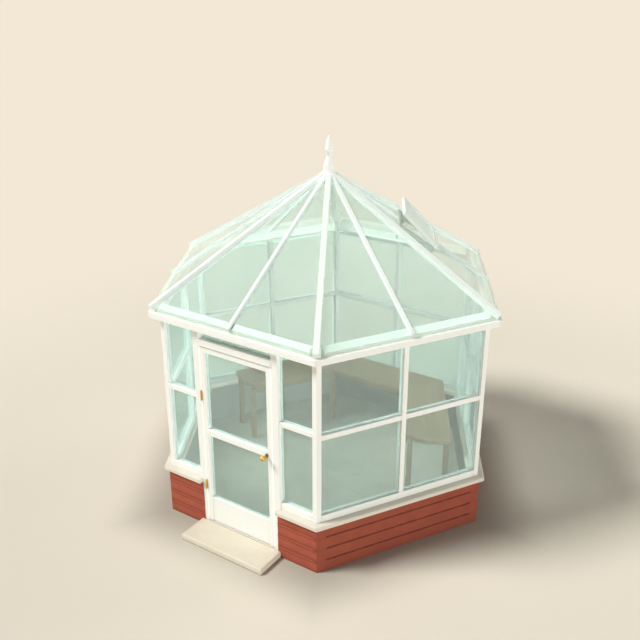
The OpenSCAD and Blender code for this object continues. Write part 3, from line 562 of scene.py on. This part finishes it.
@dataclass(frozen=True)
class Concrete(Finish):
    """Smooth grey-green floor with trowel clouds."""

    colour: str = "BEBBAA"
    light: str = "C8C5B5"
    dark: str = "A3A194"

    def coat(self, on: Surface) -> None:
        """Wires the trowel's clouds and the specks.

        Args:
            on: The surface.
        """
        mottle = on.mottle(3.0, 240.0)
        trowel = on.streaks(on.place, (2.0, 9.0, 2.0), 6.0, 0.6)
        on.body = on.blend(mottle["Cloud"], tint(self.colour), tint(self.light))
        on.stain(self.dark, (on.spread(trowel, 0.5, 0.8), 0.5), (mottle["Speck"], 0.5))
        on.close(on.spread(trowel, 0.3, 0.8, 0.55, 0.75), mottle["Height"], 0.0006)


@dataclass(frozen=True)
class Glass(Finish):
    """Thin tinted glass with a faint milky film, a soft blur and a shadow of its own weight."""

    colour: str = "E4F6F3"
    dusty: str = "D7EAE6"
    clear: float = 0.88
    gloss: float = 0.035
    shade: float = 0.5
    sill: float = 0.58

    def coat(self, on: Surface) -> None:
        """Wires the film, the runs and the dirt at the sill.

        Args:
            on: The surface.
        """
        cloud = on.noise(on.vector("MULTIPLY", on.place, (1.0, 1.0, 0.45)), 1.6)
        dust = on.noise(on.place, 38.0, 5.0, 0.7)
        streak = on.streaks(on.place, (26.0, 26.0, 1.3))
        film = on.math("MULTIPLY", on.spread(cloud, 0.3, 0.7), 0.3)
        runs = on.math("MULTIPLY", on.spread(streak, 0.5, 0.8), 0.25)
        low = on.math("MULTIPLY", on.splash(self.sill, 0.05), 0.3)
        dirt = on.math("ADD", on.math("ADD", film, runs), low, clamp=True)
        on.body = on.blend(dirt, tint(self.colour), tint(self.dusty))
        shadow = on.add("ShaderNodeLightPath").outputs["Is Shadow Ray"]
        passed = on.math("MULTIPLY", shadow, 1.0 - self.shade)
        on.feed(on.shader.inputs["Alpha"], on.math("SUBTRACT", 1.0, passed))
        on.shader.inputs["IOR"].default_value = 1.45
        on.shader.inputs["Transmission Weight"].default_value = self.clear
        on.close(on.spread(dust, 0.3, 0.8, self.gloss, self.gloss * 1.4), cloud, 0.0004, 0.2)


@dataclass(frozen=True)
class Metal(Finish):
    """Brushed or polished metal with small smears and fine scratches.

    It can be darker near the face of the leaf that it stands on: patina where no cloth reaches, and
    painted shade under the knob's ball.
    """

    colour: str = "E3BF66"
    dark: str = "C29A45"
    polish: float = 0.24
    metallic: float = 1.0
    aged_and_shade: str = "6F5120"
    aged_and_shade_share: float = 0.0
    leaf_middle: float = 0.0
    aged_and_shade_from: float = 0.066
    aged_and_shade_to: float = 0.05

    def coat(self, on: Surface) -> None:
        """Wires the smears, the scratches, and the patina with its painted shade.

        Args:
            on: The surface.
        """
        mottle = on.mottle(60.0, 900.0)
        scratch = on.streaks(on.place, (900.0, 900.0, 90.0), 3.0)
        on.body = tint(self.colour)
        on.stain(self.dark, (mottle["Cloud"], 0.45), (mottle["Speck"], 0.3))
        # Patina and painted shade: darker towards the leaf's face, under the ball.
        if self.aged_and_shade_share > 0.0:
            across = on.math("SUBTRACT", on.axis(on.place, 1), self.leaf_middle)
            out = on.math("ABSOLUTE", across)
            on.stain(self.aged_and_shade, (on.spread(out, self.aged_and_shade_from, self.aged_and_shade_to), self.aged_and_shade_share))
        smears = on.spread(mottle["Cloud"], 0.0, 1.0, self.polish, self.polish + 0.14)
        on.shader.inputs["Metallic"].default_value = self.metallic
        rough = on.math("ADD", smears, on.math("MULTIPLY", scratch, 0.06))
        on.close(rough, scratch, 0.00008, 0.4)


@dataclass(frozen=True)
class BareTimber(Finish):
    """Sawn softwood with its grain along each member."""

    colour: str = "8F7858"
    dark: str = "6C553C"
    light: str = "9D8868"

    def coat(self, on: Surface) -> None:
        """Wires the rings, the grain and the worn edges.

        Args:
            on: The surface.
        """
        member, tone, brush = on.own("member"), on.own("tone", "Fac"), on.brush()
        bent = on.math("MULTIPLY", on.streaks(member, (1.2, 9.0, 9.0), 3.0), 0.09)
        offset = on.math("ADD", bent, on.math("MULTIPLY", tone, 0.5))
        shifted = on.vector("ADD", on.vector("MULTIPLY", member, (0.0, 1.0, 1.0)), offset)
        rings = on.add("ShaderNodeTexWave", {
            "Vector": shifted, "Scale": 42.0, "Distortion": 0.6, "Detail": 2.0},
            wave_type="RINGS", rings_direction="SPHERICAL").outputs["Fac"]
        on.body = tint(self.light)
        on.stain(self.colour, (rings, 0.55))
        on.stain(self.dark, (brush["Streak"], 0.5), (tone, 0.3),
                 (on.edges(0.003, 0.02)["Edge"], 0.35))
        height = on.math("ADD", brush["Streak"], on.math("MULTIPLY", rings, 0.5))
        on.close(on.spread(rings, 0.0, 1.0, 0.6, 0.74), height, 0.0006)


class Finishes:
    """The material of every finish, built once."""

    def __init__(self) -> None:
        """Wires the shared groups and then each material."""
        effects = self.effects = SharedEffects()
        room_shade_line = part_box("side_panes")[1].y - ROOM_SHADE_SETBACK
        low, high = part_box("knob_roses")
        self.paint = PaintedTimber("ivory_paint").material(effects)
        self.frame_paint = PaintedTimber("frame_paint", room_shade_line=room_shade_line).material(effects)
        self.roof_paint = PaintedTimber(
            "roof_paint", "F2FAF3", "E7F0E8", "D2DCD2").material(effects)
        # Painted shade: the eaves beams wear a darker, greener copy of the white paint.
        self.eaves_painted_shade = PaintedTimber(
            "eaves_painted_shade", "E3EEE4", "DAE6DB", "BAC7B3", front_shade=0.5).material(effects)
        # Painted shade: the vent's curb wears a grey-green copy of the white paint.
        self.curb_painted_shade = PaintedTimber(
            "curb_painted_shade", "C0CABC", "B6C1B2", "A3AEA0").material(effects)
        self.threshold = PaintedTimber(
            "threshold_paint", "E4DFD1", "DAD5C7", "C0BAAA").material(effects)
        # Painted light and shade: the door side's brick is a lighter copy for its lit face, the
        # other sides a darker copy for their shade.
        self.walls = Masonry("red_masonry", "974835", "9E4D34", "7A3B27").material(effects)
        self.door_walls_lit_copy = Masonry(
            "red_masonry_bulged_lit_copy", "A8513D", "B05942", "85422C", bulge=0.003, seam_shade=0.85,
            seam_shade_width=0.98).material(effects)
        self.joints = BedJoint("bed_joint_strip").material(effects)
        self.stone = CastStone("cream_cast_stone").material(effects)
        self.coping = CastStone("coping_stone", "DFD7C7", "E5DECF", "C3BBAA").material(effects)
        self.concrete = Concrete("floor_concrete").material(effects)
        self.side_glass = Glass("pale_green_glass").material(effects)
        self.roof_glass = Glass("clear_roof_glass", "F3FDFA", "E4F4EE", 0.92, 0.02,
                                0.36).material(effects)
        self.vent_glass = Glass("milky_vent_glass", "F4FFF8", "EFFBF3", 0.2, 0.3,
                                0.45).material(effects)
        self.brass = Metal("brass").material(effects)
        self.knob_brass = Metal("knob_brass", "D9B45C", "BC943F", aged_and_shade_share=0.85,
                                leaf_middle=(low.y + high.y) / 2).material(effects)
        self.enamel = Metal("white_enamel", "EDEEE8", "D9DAD2", 0.35, 0.0).material(effects)
        self.grey_enamel = Metal("grey_enamel", "B4BDB2", "A0A99E", 0.35, 0.0).material(effects)
        self.steel = Metal("bright_steel", "B9B9B2", "8E8E88", 0.3).material(effects)
        self.timber = BareTimber("bench_softwood").material(effects)


def only(piece: Piece) -> None:
    """Makes one object the only selected and active one.

    Args:
        piece: The object.
    """
    bpy.ops.object.select_all(action="DESELECT")
    piece.select_set(True)
    bpy.context.view_layer.objects.active = piece


def dress(piece: Piece, material: Material) -> None:
    """Puts one material on all of an object."""
    piece.data.materials.clear()
    piece.data.materials.append(material)


def settle(piece: Piece, material: Material, node: str, part: Part) -> Piece:
    """Dresses a new piece, hides the CAD node that it stands for and ties it to the body that it
    rides on.

    Args:
        piece: The new piece.
        material: Its material.
        node: The CAD node that it stands for.
        part: The body that it rides on.

    Returns:
        The piece.
    """
    dress(piece, material)
    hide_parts(node)
    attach(piece, part.value)
    log.info("%s: %d faces, %s", piece.name, len(piece.data.polygons), material.name)
    return piece


def islands(mesh: bpy.types.Mesh) -> list[np.ndarray]:
    """Finds the separate solids of a mesh.

    Args:
        mesh: A mesh whose doubles are merged.

    Returns:
        The vertex numbers of each solid, in the order of their lowest number.
    """
    parent = list(range(len(mesh.vertices)))

    def root(i: int) -> int:
        """Follows a vertex to the first one of its solid.

        Args:
            i: The vertex's number.

        Returns:
            The number of the solid's first vertex.
        """
        while parent[i] != i:
            parent[i] = parent[parent[i]]
            i = parent[i]
        return i

    for edge in mesh.edges:
        a, b = (root(v) for v in edge.vertices)
        parent[max(a, b)] = min(a, b)
    roots = np.array([root(i) for i in range(len(parent))])
    return [np.flatnonzero(roots == r) for r in np.unique(roots)]


def mark_members(piece: Piece) -> None:
    """Gives each solid of a piece its own coordinates, half sizes and tone.

    The first coordinate runs along the solid, so grain and wear follow it however it lies.

    Args:
        piece: The object to mark, in place.
    """
    mesh = piece.data
    places = np.zeros(len(mesh.vertices) * 3)
    mesh.vertices.foreach_get("co", places)
    places = places.reshape(-1, 3)
    pairs = np.array([e.vertices[:] for e in mesh.edges])
    along = places[pairs[:, 1]] - places[pairs[:, 0]]
    lengths = np.linalg.norm(along, axis=1)
    local, half, tone = np.zeros_like(places), np.zeros_like(places), np.zeros(len(places))
    for number, chosen in enumerate(islands(mesh)):
        inside = np.isin(pairs[:, 0], chosen)
        long_axis = along[inside][np.argmax(lengths[inside])]
        long_axis = long_axis / np.linalg.norm(long_axis)
        across = np.cross(long_axis, UP)
        if np.linalg.norm(across) < UPRIGHT_SINE:
            out = places[chosen].mean(0) * (1, 1, 0)
            central = np.linalg.norm(out) <= CENTRAL_DISTANCE
            across = np.cross(long_axis, (1, 0, 0) if central else out)
        across = across / np.linalg.norm(across)
        axes = np.array([long_axis, across, np.cross(long_axis, across)])
        own = places[chosen] @ axes.T
        low, high = own.min(0), own.max(0)
        local[chosen] = own - (low + high) / 2
        half[chosen] = (high - low) / 2
        tone[chosen] = (number * TONE_STEP) % 1.0
    for name, kind, field, values in (("member", "FLOAT_VECTOR", "vector", local),
                                      ("half", "FLOAT_VECTOR", "vector", half),
                                      ("tone", "FLOAT", "value", tone)):
        mesh.attributes.new(name, kind, "POINT").data.foreach_set(field, values.ravel())


def weigh_edges(mesh: bpy.types.Mesh) -> None:
    """Marks the edges that are eased: sharp, outward ones between faces that aren't narrow.

    Edges beside narrow faces, such as the grooves that hold the glass, stay sharp.

    Args:
        mesh: The mesh to mark, in place.
    """
    slim = {}
    sides: dict[tuple[int, int], list[int]] = {}
    for face in mesh.polygons:
        corners = [mesh.vertices[v].co for v in face.vertices]
        longest = max((corners[i] - corners[i - 1]).length for i in range(len(corners)))
        slim[face.index] = face.area / max(longest, 1e-6) < NARROW_FACE
        for key in face.edge_keys:
            sides.setdefault(key, []).append(face.index)
    weights = mesh.attributes.new("bevel_weight_edge", "FLOAT", "EDGE")
    for edge in mesh.edges:
        faces = sides.get(edge.key, [])
        if len(faces) != 2 or any(slim[f] for f in faces):
            continue
        a, b = (mesh.polygons[f] for f in faces)
        outward = (b.center - a.center).dot(a.normal) < 0
        if a.normal.angle(b.normal, 0.0) > SHARP_ANGLE and outward:
            weights.data[edge.index].value = 1.0


def eased_copy(node: str, width: float, part: Part, material: Material) -> Piece:
    """Copies a CAD node's solids and eases their sharp edges.

    Args:
        node: The node that the copy stands for.
        width: Width of the easing in metres.
        part: The body that the piece rides on.
        material: The piece's material.

    Returns:
        The new piece.
    """
    piece = bpy.data.objects.new(f"{node}_eased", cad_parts[node].data.copy())
    bpy.context.scene.collection.objects.link(piece)
    only(piece)
    bpy.ops.object.mode_set(mode="EDIT")
    bpy.ops.mesh.select_all(action="SELECT")
    bpy.ops.mesh.remove_doubles(threshold=MERGE_DISTANCE)
    bpy.ops.mesh.dissolve_limited(angle_limit=FLAT_ANGLE)
    bpy.ops.object.mode_set(mode="OBJECT")
    weigh_edges(piece.data)
    ease = piece.modifiers.new("ease", "BEVEL")
    ease.limit_method = "WEIGHT"
    ease.width = width
    ease.segments = 2
    ease.use_clamp_overlap = True
    bpy.ops.object.modifier_apply(modifier=ease.name)
    bpy.ops.object.shade_smooth_by_angle(angle=SMOOTH_ANGLE)
    level = piece.modifiers.new("level", "WEIGHTED_NORMAL")
    level.weight = 100
    level.keep_sharp = True
    bpy.ops.object.modifier_apply(modifier=level.name)
    mark_members(piece)
    return settle(piece, material, node, part)


@dataclass(frozen=True)
class Turned:
    """A turned piece: rings of a radius and a height along an axis, closed at both ends."""

    name: str
    rings: Rings
    sides: int = 48

    def build(self, foot: Sequence[float], axis: Sequence[float] = UP) -> Piece:
        """Turns the piece ring by ring and sets it in place.

        Args:
            foot: Where height zero lies, in metres.
            axis: Direction in which the heights run.

        Returns:
            The new object, with its place in its mesh.
        """
        radius, height = self.rings[0]
        bpy.ops.mesh.primitive_circle_add(vertices=self.sides, radius=radius, fill_type="NGON",
                                          location=(0, 0, height))
        piece = bpy.context.object
        piece.name = self.name
        bpy.ops.object.transform_apply(location=True, rotation=True, scale=True)
        bpy.ops.object.mode_set(mode="EDIT")
        bpy.ops.mesh.select_all(action="SELECT")
        for next_radius, next_height in self.rings[1:]:
            rise = (0, 0, next_height - height)
            bpy.ops.mesh.extrude_region_move(TRANSFORM_OT_translate={"value": rise})
            grow = next_radius / radius
            bpy.ops.transform.resize(value=(grow, grow, 1), center_override=(0, 0, next_height))
            radius, height = next_radius, next_height
        bpy.ops.mesh.select_all(action="SELECT")
        bpy.ops.mesh.normals_make_consistent(inside=False)
        bpy.ops.object.mode_set(mode="OBJECT")
        turn = Vector(UP).rotation_difference(Vector(axis))
        piece.matrix_world = Matrix.Translation(foot) @ turn.to_matrix().to_4x4()
        only(piece)
        bpy.ops.object.transform_apply(location=True, rotation=True, scale=True)
        bpy.ops.object.shade_smooth_by_angle(angle=TURNED_ANGLE)
        return piece


def smooth_rings(points: Rings, steps: int) -> Rings:
    """Runs a smooth curve through the points of a turned outline.

    Args:
        points: Radius and height of each point, heights rising.
        steps: Number of rings between two points.

    Returns:
        The rings of the smooth outline.
    """
    rings = []
    last = len(points) - 1
    for i in range(last):
        four = (points[max(i - 1, 0)], points[i], points[i + 1], points[min(i + 2, last)])
        for step in range(steps):
            t = step / steps
            radius, height = (
                0.5 * (2 * b + (c - a) * t + (2 * a - 5 * b + 4 * c - d) * t * t
                       + (3 * b - 3 * c + d - a) * t ** 3)
                for a, b, c, d in zip(*four))
            rings.append((max(radius, THINNEST_RING), height))
    return (*rings, points[-1])


@dataclass
class SubAssembly:
    """What the sub-assemblies share."""

    looks: Finishes

    def ease_all(self, nodes: Iterable[str], width: float, material: Material,
                 part: Part = Part.BUILDING) -> None:
        """Eases several nodes by a width in metres and dresses them alike."""
        for node in nodes:
            eased_copy(node, width, part, material)

    @staticmethod
    def keep_all(nodes: Iterable[str], material: Material) -> None:
        """Puts a better material on CAD nodes whose shape is right.

        Args:
            nodes: Names of the CAD nodes.
            material: Their material.
        """
        for node in nodes:
            dress(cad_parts[node], material)
            log.info("%s: kept, %s", node, material.name)


@dataclass
class DwarfWall(SubAssembly):
    """Masonry, joint strips and coping."""

    brick_ease: float = 0.003
    coping_ease: float = 0.004

    def build(self) -> None:
        """Builds and dresses the wall."""
        self.ease_all(("wall_front_left", "wall_front_right"), self.brick_ease,
                      self.looks.door_walls_lit_copy)
        self.ease_all(("wall_right_front", "wall_right_back", "wall_back", "wall_left_back",
                       "wall_left_front"), self.brick_ease, self.looks.walls)
        self.ease_all(("coping_front", "coping_sides"), self.coping_ease, self.looks.coping)
        self.keep_all(("bed_joints",), self.looks.joints)


@dataclass
class Paving(SubAssembly):
    """Floor slab, doorstep and threshold."""

    step_ease: float = 0.005
    strip_ease: float = 0.0015

    def build(self) -> None:
        """Builds and dresses the paving."""
        self.keep_all(("floor_slab",), self.looks.concrete)
        self.ease_all(("door_step",), self.step_ease, self.looks.stone)
        self.ease_all(("threshold",), self.strip_ease, self.looks.threshold)


@dataclass
class WallFrames(SubAssembly):
    """Window frames and door frame."""

    ease: float = 0.0035
    stop_ease: float = 0.0015

    def build(self) -> None:
        """Builds and dresses the frames."""
        self.ease_all(("corner_posts", "sill_rails", "mullions", "mid_rails", "head_rails"),
                      self.ease, self.looks.frame_paint)
        self.ease_all(("door_posts", "door_head"), self.ease, self.looks.paint)
        self.ease_all(("door_stops",), self.stop_ease, self.looks.paint)


@dataclass
class DoorLeaf(SubAssembly):
    """Stiles, rails and kick panel of the door."""

    ease: float = 0.003

    def build(self) -> None:
        """Builds and dresses the leaf."""
        self.ease_all(("door_stiles", "door_rails", "kick_panel"), self.ease, self.looks.paint,
                      Part.DOOR)


@dataclass
class Glazing(SubAssembly):
    """All the glass."""

    def build(self) -> None:
        """Dresses the panes."""
        self.keep_all(("side_panes", "front_panes", "door_panes"), self.looks.side_glass)
        self.keep_all(("roof_panes",), self.looks.roof_glass)
        self.keep_all(("vent_glass",), self.looks.vent_glass)


@dataclass
class Ironmongery(SubAssembly):
    """Hinges, screws, lock and the turned knobs."""

    knob_radius: float = 0.025
    neck_radius: float = 0.012
    rose_radius: float = 0.017
    rose_thick: float = 0.005

    def knob(self, node: str, inwards: bool) -> Piece:
        """Turns one knob: a collar, a waisted neck and a ball with a small flat.

        Args:
            node: The CAD node that it stands for.
            inwards: Whether it is the knob inside the room.

        Returns:
            The new piece.
        """
        low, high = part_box(node)
        base, direction = (low.y, 1.0) if inwards else (high.y, -1.0)
        foot = Vector(((low.x + high.x) / 2, base, (low.z + high.z) / 2))
        reach = high.y - low.y
        r, neck = self.knob_radius, self.neck_radius
        ball = reach - r
        points = [(neck * 1.12, 0.0), (neck * 1.16, 0.002), (neck * 1.02, 0.005),
                  (neck * 0.95, 0.012), (neck * 0.95, ball - r * 1.08),
                  (neck * 1.08, ball - r * 0.95)]
        for degrees in range(-58, 80, 12):
            angle = math.radians(degrees)
            points.append((r * math.cos(angle), ball + r * math.sin(angle)))
        points.append((r * 0.16, reach))
        piece = Turned(f"{node}_turned", tuple(points)).build(foot, (0.0, direction, 0.0))
        return settle(piece, self.looks.knob_brass, node, Part.KNOB)

    def roses(self) -> Piece:
        """Turns the two stepped roses under the knobs.

        Returns:
            The new piece.
        """
        low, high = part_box("knob_roses")
        centre = (low + high) / 2
        r, t = self.rose_radius, self.rose_thick
        rings = ((r * 0.3, 0.0), (r, 0.0), (r, t * 0.45), (r * 0.94, t * 0.62),
                 (r * 0.8, t * 0.66), (r * 0.7, t * 0.95), (r * 0.3, t))
        outer, inner = (
            Turned("knob_roses_turned", rings).build((centre.x, y, centre.z), (0.0, side, 0.0))
            for side, y in ((-1.0, low.y + t), (1.0, high.y - t)))
        only(outer)
        inner.select_set(True)
        bpy.ops.object.join()
        return settle(outer, self.looks.knob_brass, "knob_roses", Part.DOOR)

    def build(self) -> None:
        """Builds the turned pieces and dresses the rest."""
        self.knob("outer_knob", False)
        self.knob("inner_knob", True)
        self.roses()
        self.keep_all(("hinge_frame_leaves", "hinge_door_leaves", "door_hinge_pins",
                       "frame_screws", "leaf_screws", "keep_plate", "lock_pinion"),
                      self.looks.brass)
        self.keep_all(("lock_case", "knob_spindle", "rack_bolt"), self.looks.steel)


@dataclass
class Roof(SubAssembly):
    """Eaves, rafters, bars, boss and finial."""

    ease: float = 0.0035
    boss_ease: float = 0.006
    bulb: float = 0.048
    neck: float = 0.022
    spire: float = 0.036
    tip: float = 0.006

    def turn_centre(self, node: str, rings: Rings, sides: int) -> Piece:
        """Turns a painted piece that stands on the building's axis.

        Args:
            node: The CAD node that it stands for.
            rings: Radius and height of each ring, from the node's foot.
            sides: Number of sides of each ring.

        Returns:
            The new piece.
        """
        piece = Turned(f"{node}_turned", rings, sides).build((0.0, 0.0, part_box(node)[0].z))
        mark_members(piece)
        return settle(piece, self.looks.paint, node, Part.BUILDING)

    def finial(self) -> Piece:
        """Turns the finial: foot, bulb, neck, spindle and rounded tip.

        Returns:
            The new piece.
        """
        low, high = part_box("finial")
        tall, foot = high.z - low.z, (high.x - low.x) / 2
        bulb, neck, spire, tip = self.bulb, self.neck, self.spire, self.tip
        base = ((foot * 0.97, 0.0), (foot, 0.004), (foot, 0.012), (foot * 0.96, 0.022))
        outline = ((bulb * 1.17, 0.075), (bulb * 1.04, 0.14), (bulb, 0.21), (bulb * 0.9, 0.28),
                   (bulb * 0.68, 0.36), (neck * 1.14, 0.43), (neck, 0.47), (neck * 1.14, 0.52),
                   (spire * 0.92, 0.6), (spire, 0.65), (spire * 0.92, 0.71), (spire * 0.64, 0.84),
                   (tip * 2, 0.94), (tip, 0.985), (tip / 2, 1.0))
        rings = tuple((radius, tall * share) for radius, share in base + smooth_rings(outline, 4))
        return self.turn_centre("finial", rings, 56)

    def boss(self) -> Piece:
        """Turns the boss that the rafters meet on, with eased rims.

        Returns:
            The new piece.
        """
        low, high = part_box("ridge_boss")
        r, tall, ease = (high.x - low.x) / 2, high.z - low.z, self.boss_ease
        rings = ((r - ease, 0.0), (r - ease * 0.3, ease * 0.3), (r, ease), (r, tall - ease),
                 (r - ease * 0.3, tall - ease * 0.3), (r - ease, tall))
        return self.turn_centre("ridge_boss", rings, 64)

    def build(self) -> None:
        """Builds and dresses the roof."""
        self.ease_all(("eaves_beams",), self.ease, self.looks.eaves_painted_shade)
        self.ease_all(("eaves_fascias",), self.ease, self.looks.paint)
        self.ease_all(("hip_rafters", "roof_bars"), self.ease, self.looks.roof_paint)
        self.boss()
        self.finial()


@dataclass
class RoofVent(SubAssembly):
    """Curb, opening sash, hinges and stay."""

    ease: float = 0.003

    def build(self) -> None:
        """Builds and dresses the vent."""
        self.ease_all(("vent_curb",), self.ease, self.looks.curb_painted_shade)
        self.ease_all(("vent_stiles", "vent_rails"), self.ease, self.looks.roof_paint,
                      Part.VENT)
        self.keep_all(("vent_curb_hinges", "vent_sash_hinges", "vent_hinge_pins"),
                      self.looks.enamel)
        self.keep_all(("vent_stay", "stay_guide", "stay_screw"), self.looks.grey_enamel)


@dataclass
class Benches(SubAssembly):
    """Bench along the three back sides."""

    ease: float = 0.003

    def build(self) -> None:
        """Builds and dresses the bench."""
        self.ease_all(("bench_tops", "bench_legs", "bench_rails"), self.ease, self.looks.timber)


@dataclass(frozen=True)
class Lamp:
    """A sun lamp: where it shines from, how wide it looks and how strong it is."""

    name: str
    turn: float
    rise: float
    spread: float
    strength: float
    shadow: bool = True

    def hang(self) -> None:
        """Adds the lamp to the scene."""
        lamp = bpy.data.lights.new(self.name, "SUN")
        lamp.energy = self.strength
        lamp.angle = math.radians(self.spread)
        lamp.use_shadow = self.shadow
        around, up = math.radians(self.turn), math.radians(self.rise)
        comes_from = Vector((math.cos(around) * math.cos(up), math.sin(around) * math.cos(up),
                             math.sin(up)))
        sun = bpy.data.objects.new(self.name, lamp)
        sun.rotation_euler = comes_from.to_track_quat("Z", "Y").to_euler()
        bpy.context.scene.collection.objects.link(sun)


@dataclass
class Studio:
    """Floor, background, lamps and camera."""

    looks: Finishes
    backdrop: str = "F2E8D5"
    ground: str = "E9DFCD"
    # Painted contact shade: the floor darkens towards this colour near the building's foot.
    near: str = "8F8E80"
    contact_shade_from: float = 2.14
    contact_shade_to: float = 1.47
    contact_shade_share: float = 0.62
    fade_from: float = 3.0
    fade_to: float = 7.5
    floor_radius: float = 150.0
    camera_place: tuple[float, float, float] = (4.2031, -6.4486, 5.0141)
    camera_aim: tuple[float, float, float] = (-0.06737, -0.04492, 1.69169)
    lens: float = 47.97
    sky: float = 0.21
    lamps: tuple[Lamp, ...] = (
        Lamp("key", 221.9, 46.1, 17.9, 3.04), Lamp("rim", 58.3, 28.9, 20.8, 0.36),
        Lamp("fill", -10.0, 1.0, 8.0, 1.35, False))

    def floor(self) -> None:
        """Lays a floor that keeps the shadow nearby, adds painted contact shade near the building
        and turns into the backdrop further out.
        """
        bpy.ops.mesh.primitive_circle_add(vertices=96, radius=self.floor_radius,
                                          fill_type="NGON", location=(0, 0, 0))
        floor = bpy.context.object
        floor.name = "studio_floor"
        material = bpy.data.materials.new("studio_floor")
        material.use_nodes = True
        material.node_tree.nodes.clear()
        wires = Wiring(material.node_tree)
        place = wires.add("ShaderNodeTexCoord").outputs["Object"]
        away = wires.add("ShaderNodeVectorMath", {0: place}, operation="LENGTH").outputs["Value"]
        reach = wires.group(self.looks.effects.reach, {"Place": place})["Reach"]
        # Painted contact shade: the tone darkens within reach of the building's foot.
        close = wires.spread(reach, self.contact_shade_from, self.contact_shade_to, 0.0, self.contact_shade_share)
        cloud = wires.math("MULTIPLY", wires.noise(place, 0.9, 3.0), 0.02)
        tone = wires.blend(wires.math("ADD", close, cloud), tint(self.ground), tint(self.near))
        ground = wires.add("ShaderNodeBsdfDiffuse", {"Color": tone})
        glow = wires.add("ShaderNodeEmission", {"Color": tint(self.backdrop)})
        far = wires.spread(away, self.fade_from, self.fade_to)
        mix = wires.add("ShaderNodeMixShader", {
            0: wires.math("MULTIPLY", far, wires.seen()), 1: ground.outputs[0],
            2: glow.outputs[0]})
        wires.add("ShaderNodeOutputMaterial", {"Surface": mix.outputs[0]})
        dress(floor, material)

    def world(self) -> None:
        """Sets a plain world: the backdrop to the eye, soft white light to everything else."""
        world = bpy.data.worlds.new("studio")
        bpy.context.scene.world = world
        world.use_nodes = True
        world.node_tree.nodes.clear()
        wires = Wiring(world.node_tree)
        light, back = (
            wires.add("ShaderNodeBackground", {"Color": colour, "Strength": strength})
            for colour, strength in (((1.0, 1.0, 1.0, 1.0), self.sky), (tint(self.backdrop), 1.0)))
        mix = wires.add("ShaderNodeMixShader", {
            0: wires.seen(), 1: light.outputs[0], 2: back.outputs[0]})
        wires.add("ShaderNodeOutputWorld", {"Surface": mix.outputs[0]})

    def camera(self) -> None:
        """Places the camera where the photograph was taken from."""
        lens = bpy.data.cameras.new("camera")
        lens.lens = self.lens
        lens.sensor_width = 36.0
        lens.clip_end = 400.0
        camera = bpy.data.objects.new("camera", lens)
        camera.location = self.camera_place
        look = Vector(self.camera_aim) - Vector(self.camera_place)
        camera.rotation_euler = look.to_track_quat("-Z", "Y").to_euler()
        bpy.context.scene.collection.objects.link(camera)
        bpy.context.scene.camera = camera

    def build(self) -> None:
        """Sets up the whole studio."""
        self.floor()
        self.world()
        for lamp in self.lamps:
            lamp.hang()
        self.camera()
        bpy.context.scene.view_settings.view_transform = "Standard"


def main() -> None:
    """Builds the greenhouse's sub-assemblies in order, then the studio."""
    logging.basicConfig(level=logging.INFO, format="%(name)s: %(message)s")
    finishes = Finishes()
    for assembly in (DwarfWall, Paving, WallFrames, DoorLeaf, Glazing, Ironmongery, Roof,
                     RoofVent, Benches):
        log.info("building %s", assembly.__name__)
        assembly(finishes).build()
    Studio(finishes).build()


if __name__ == "__main__":
    main()
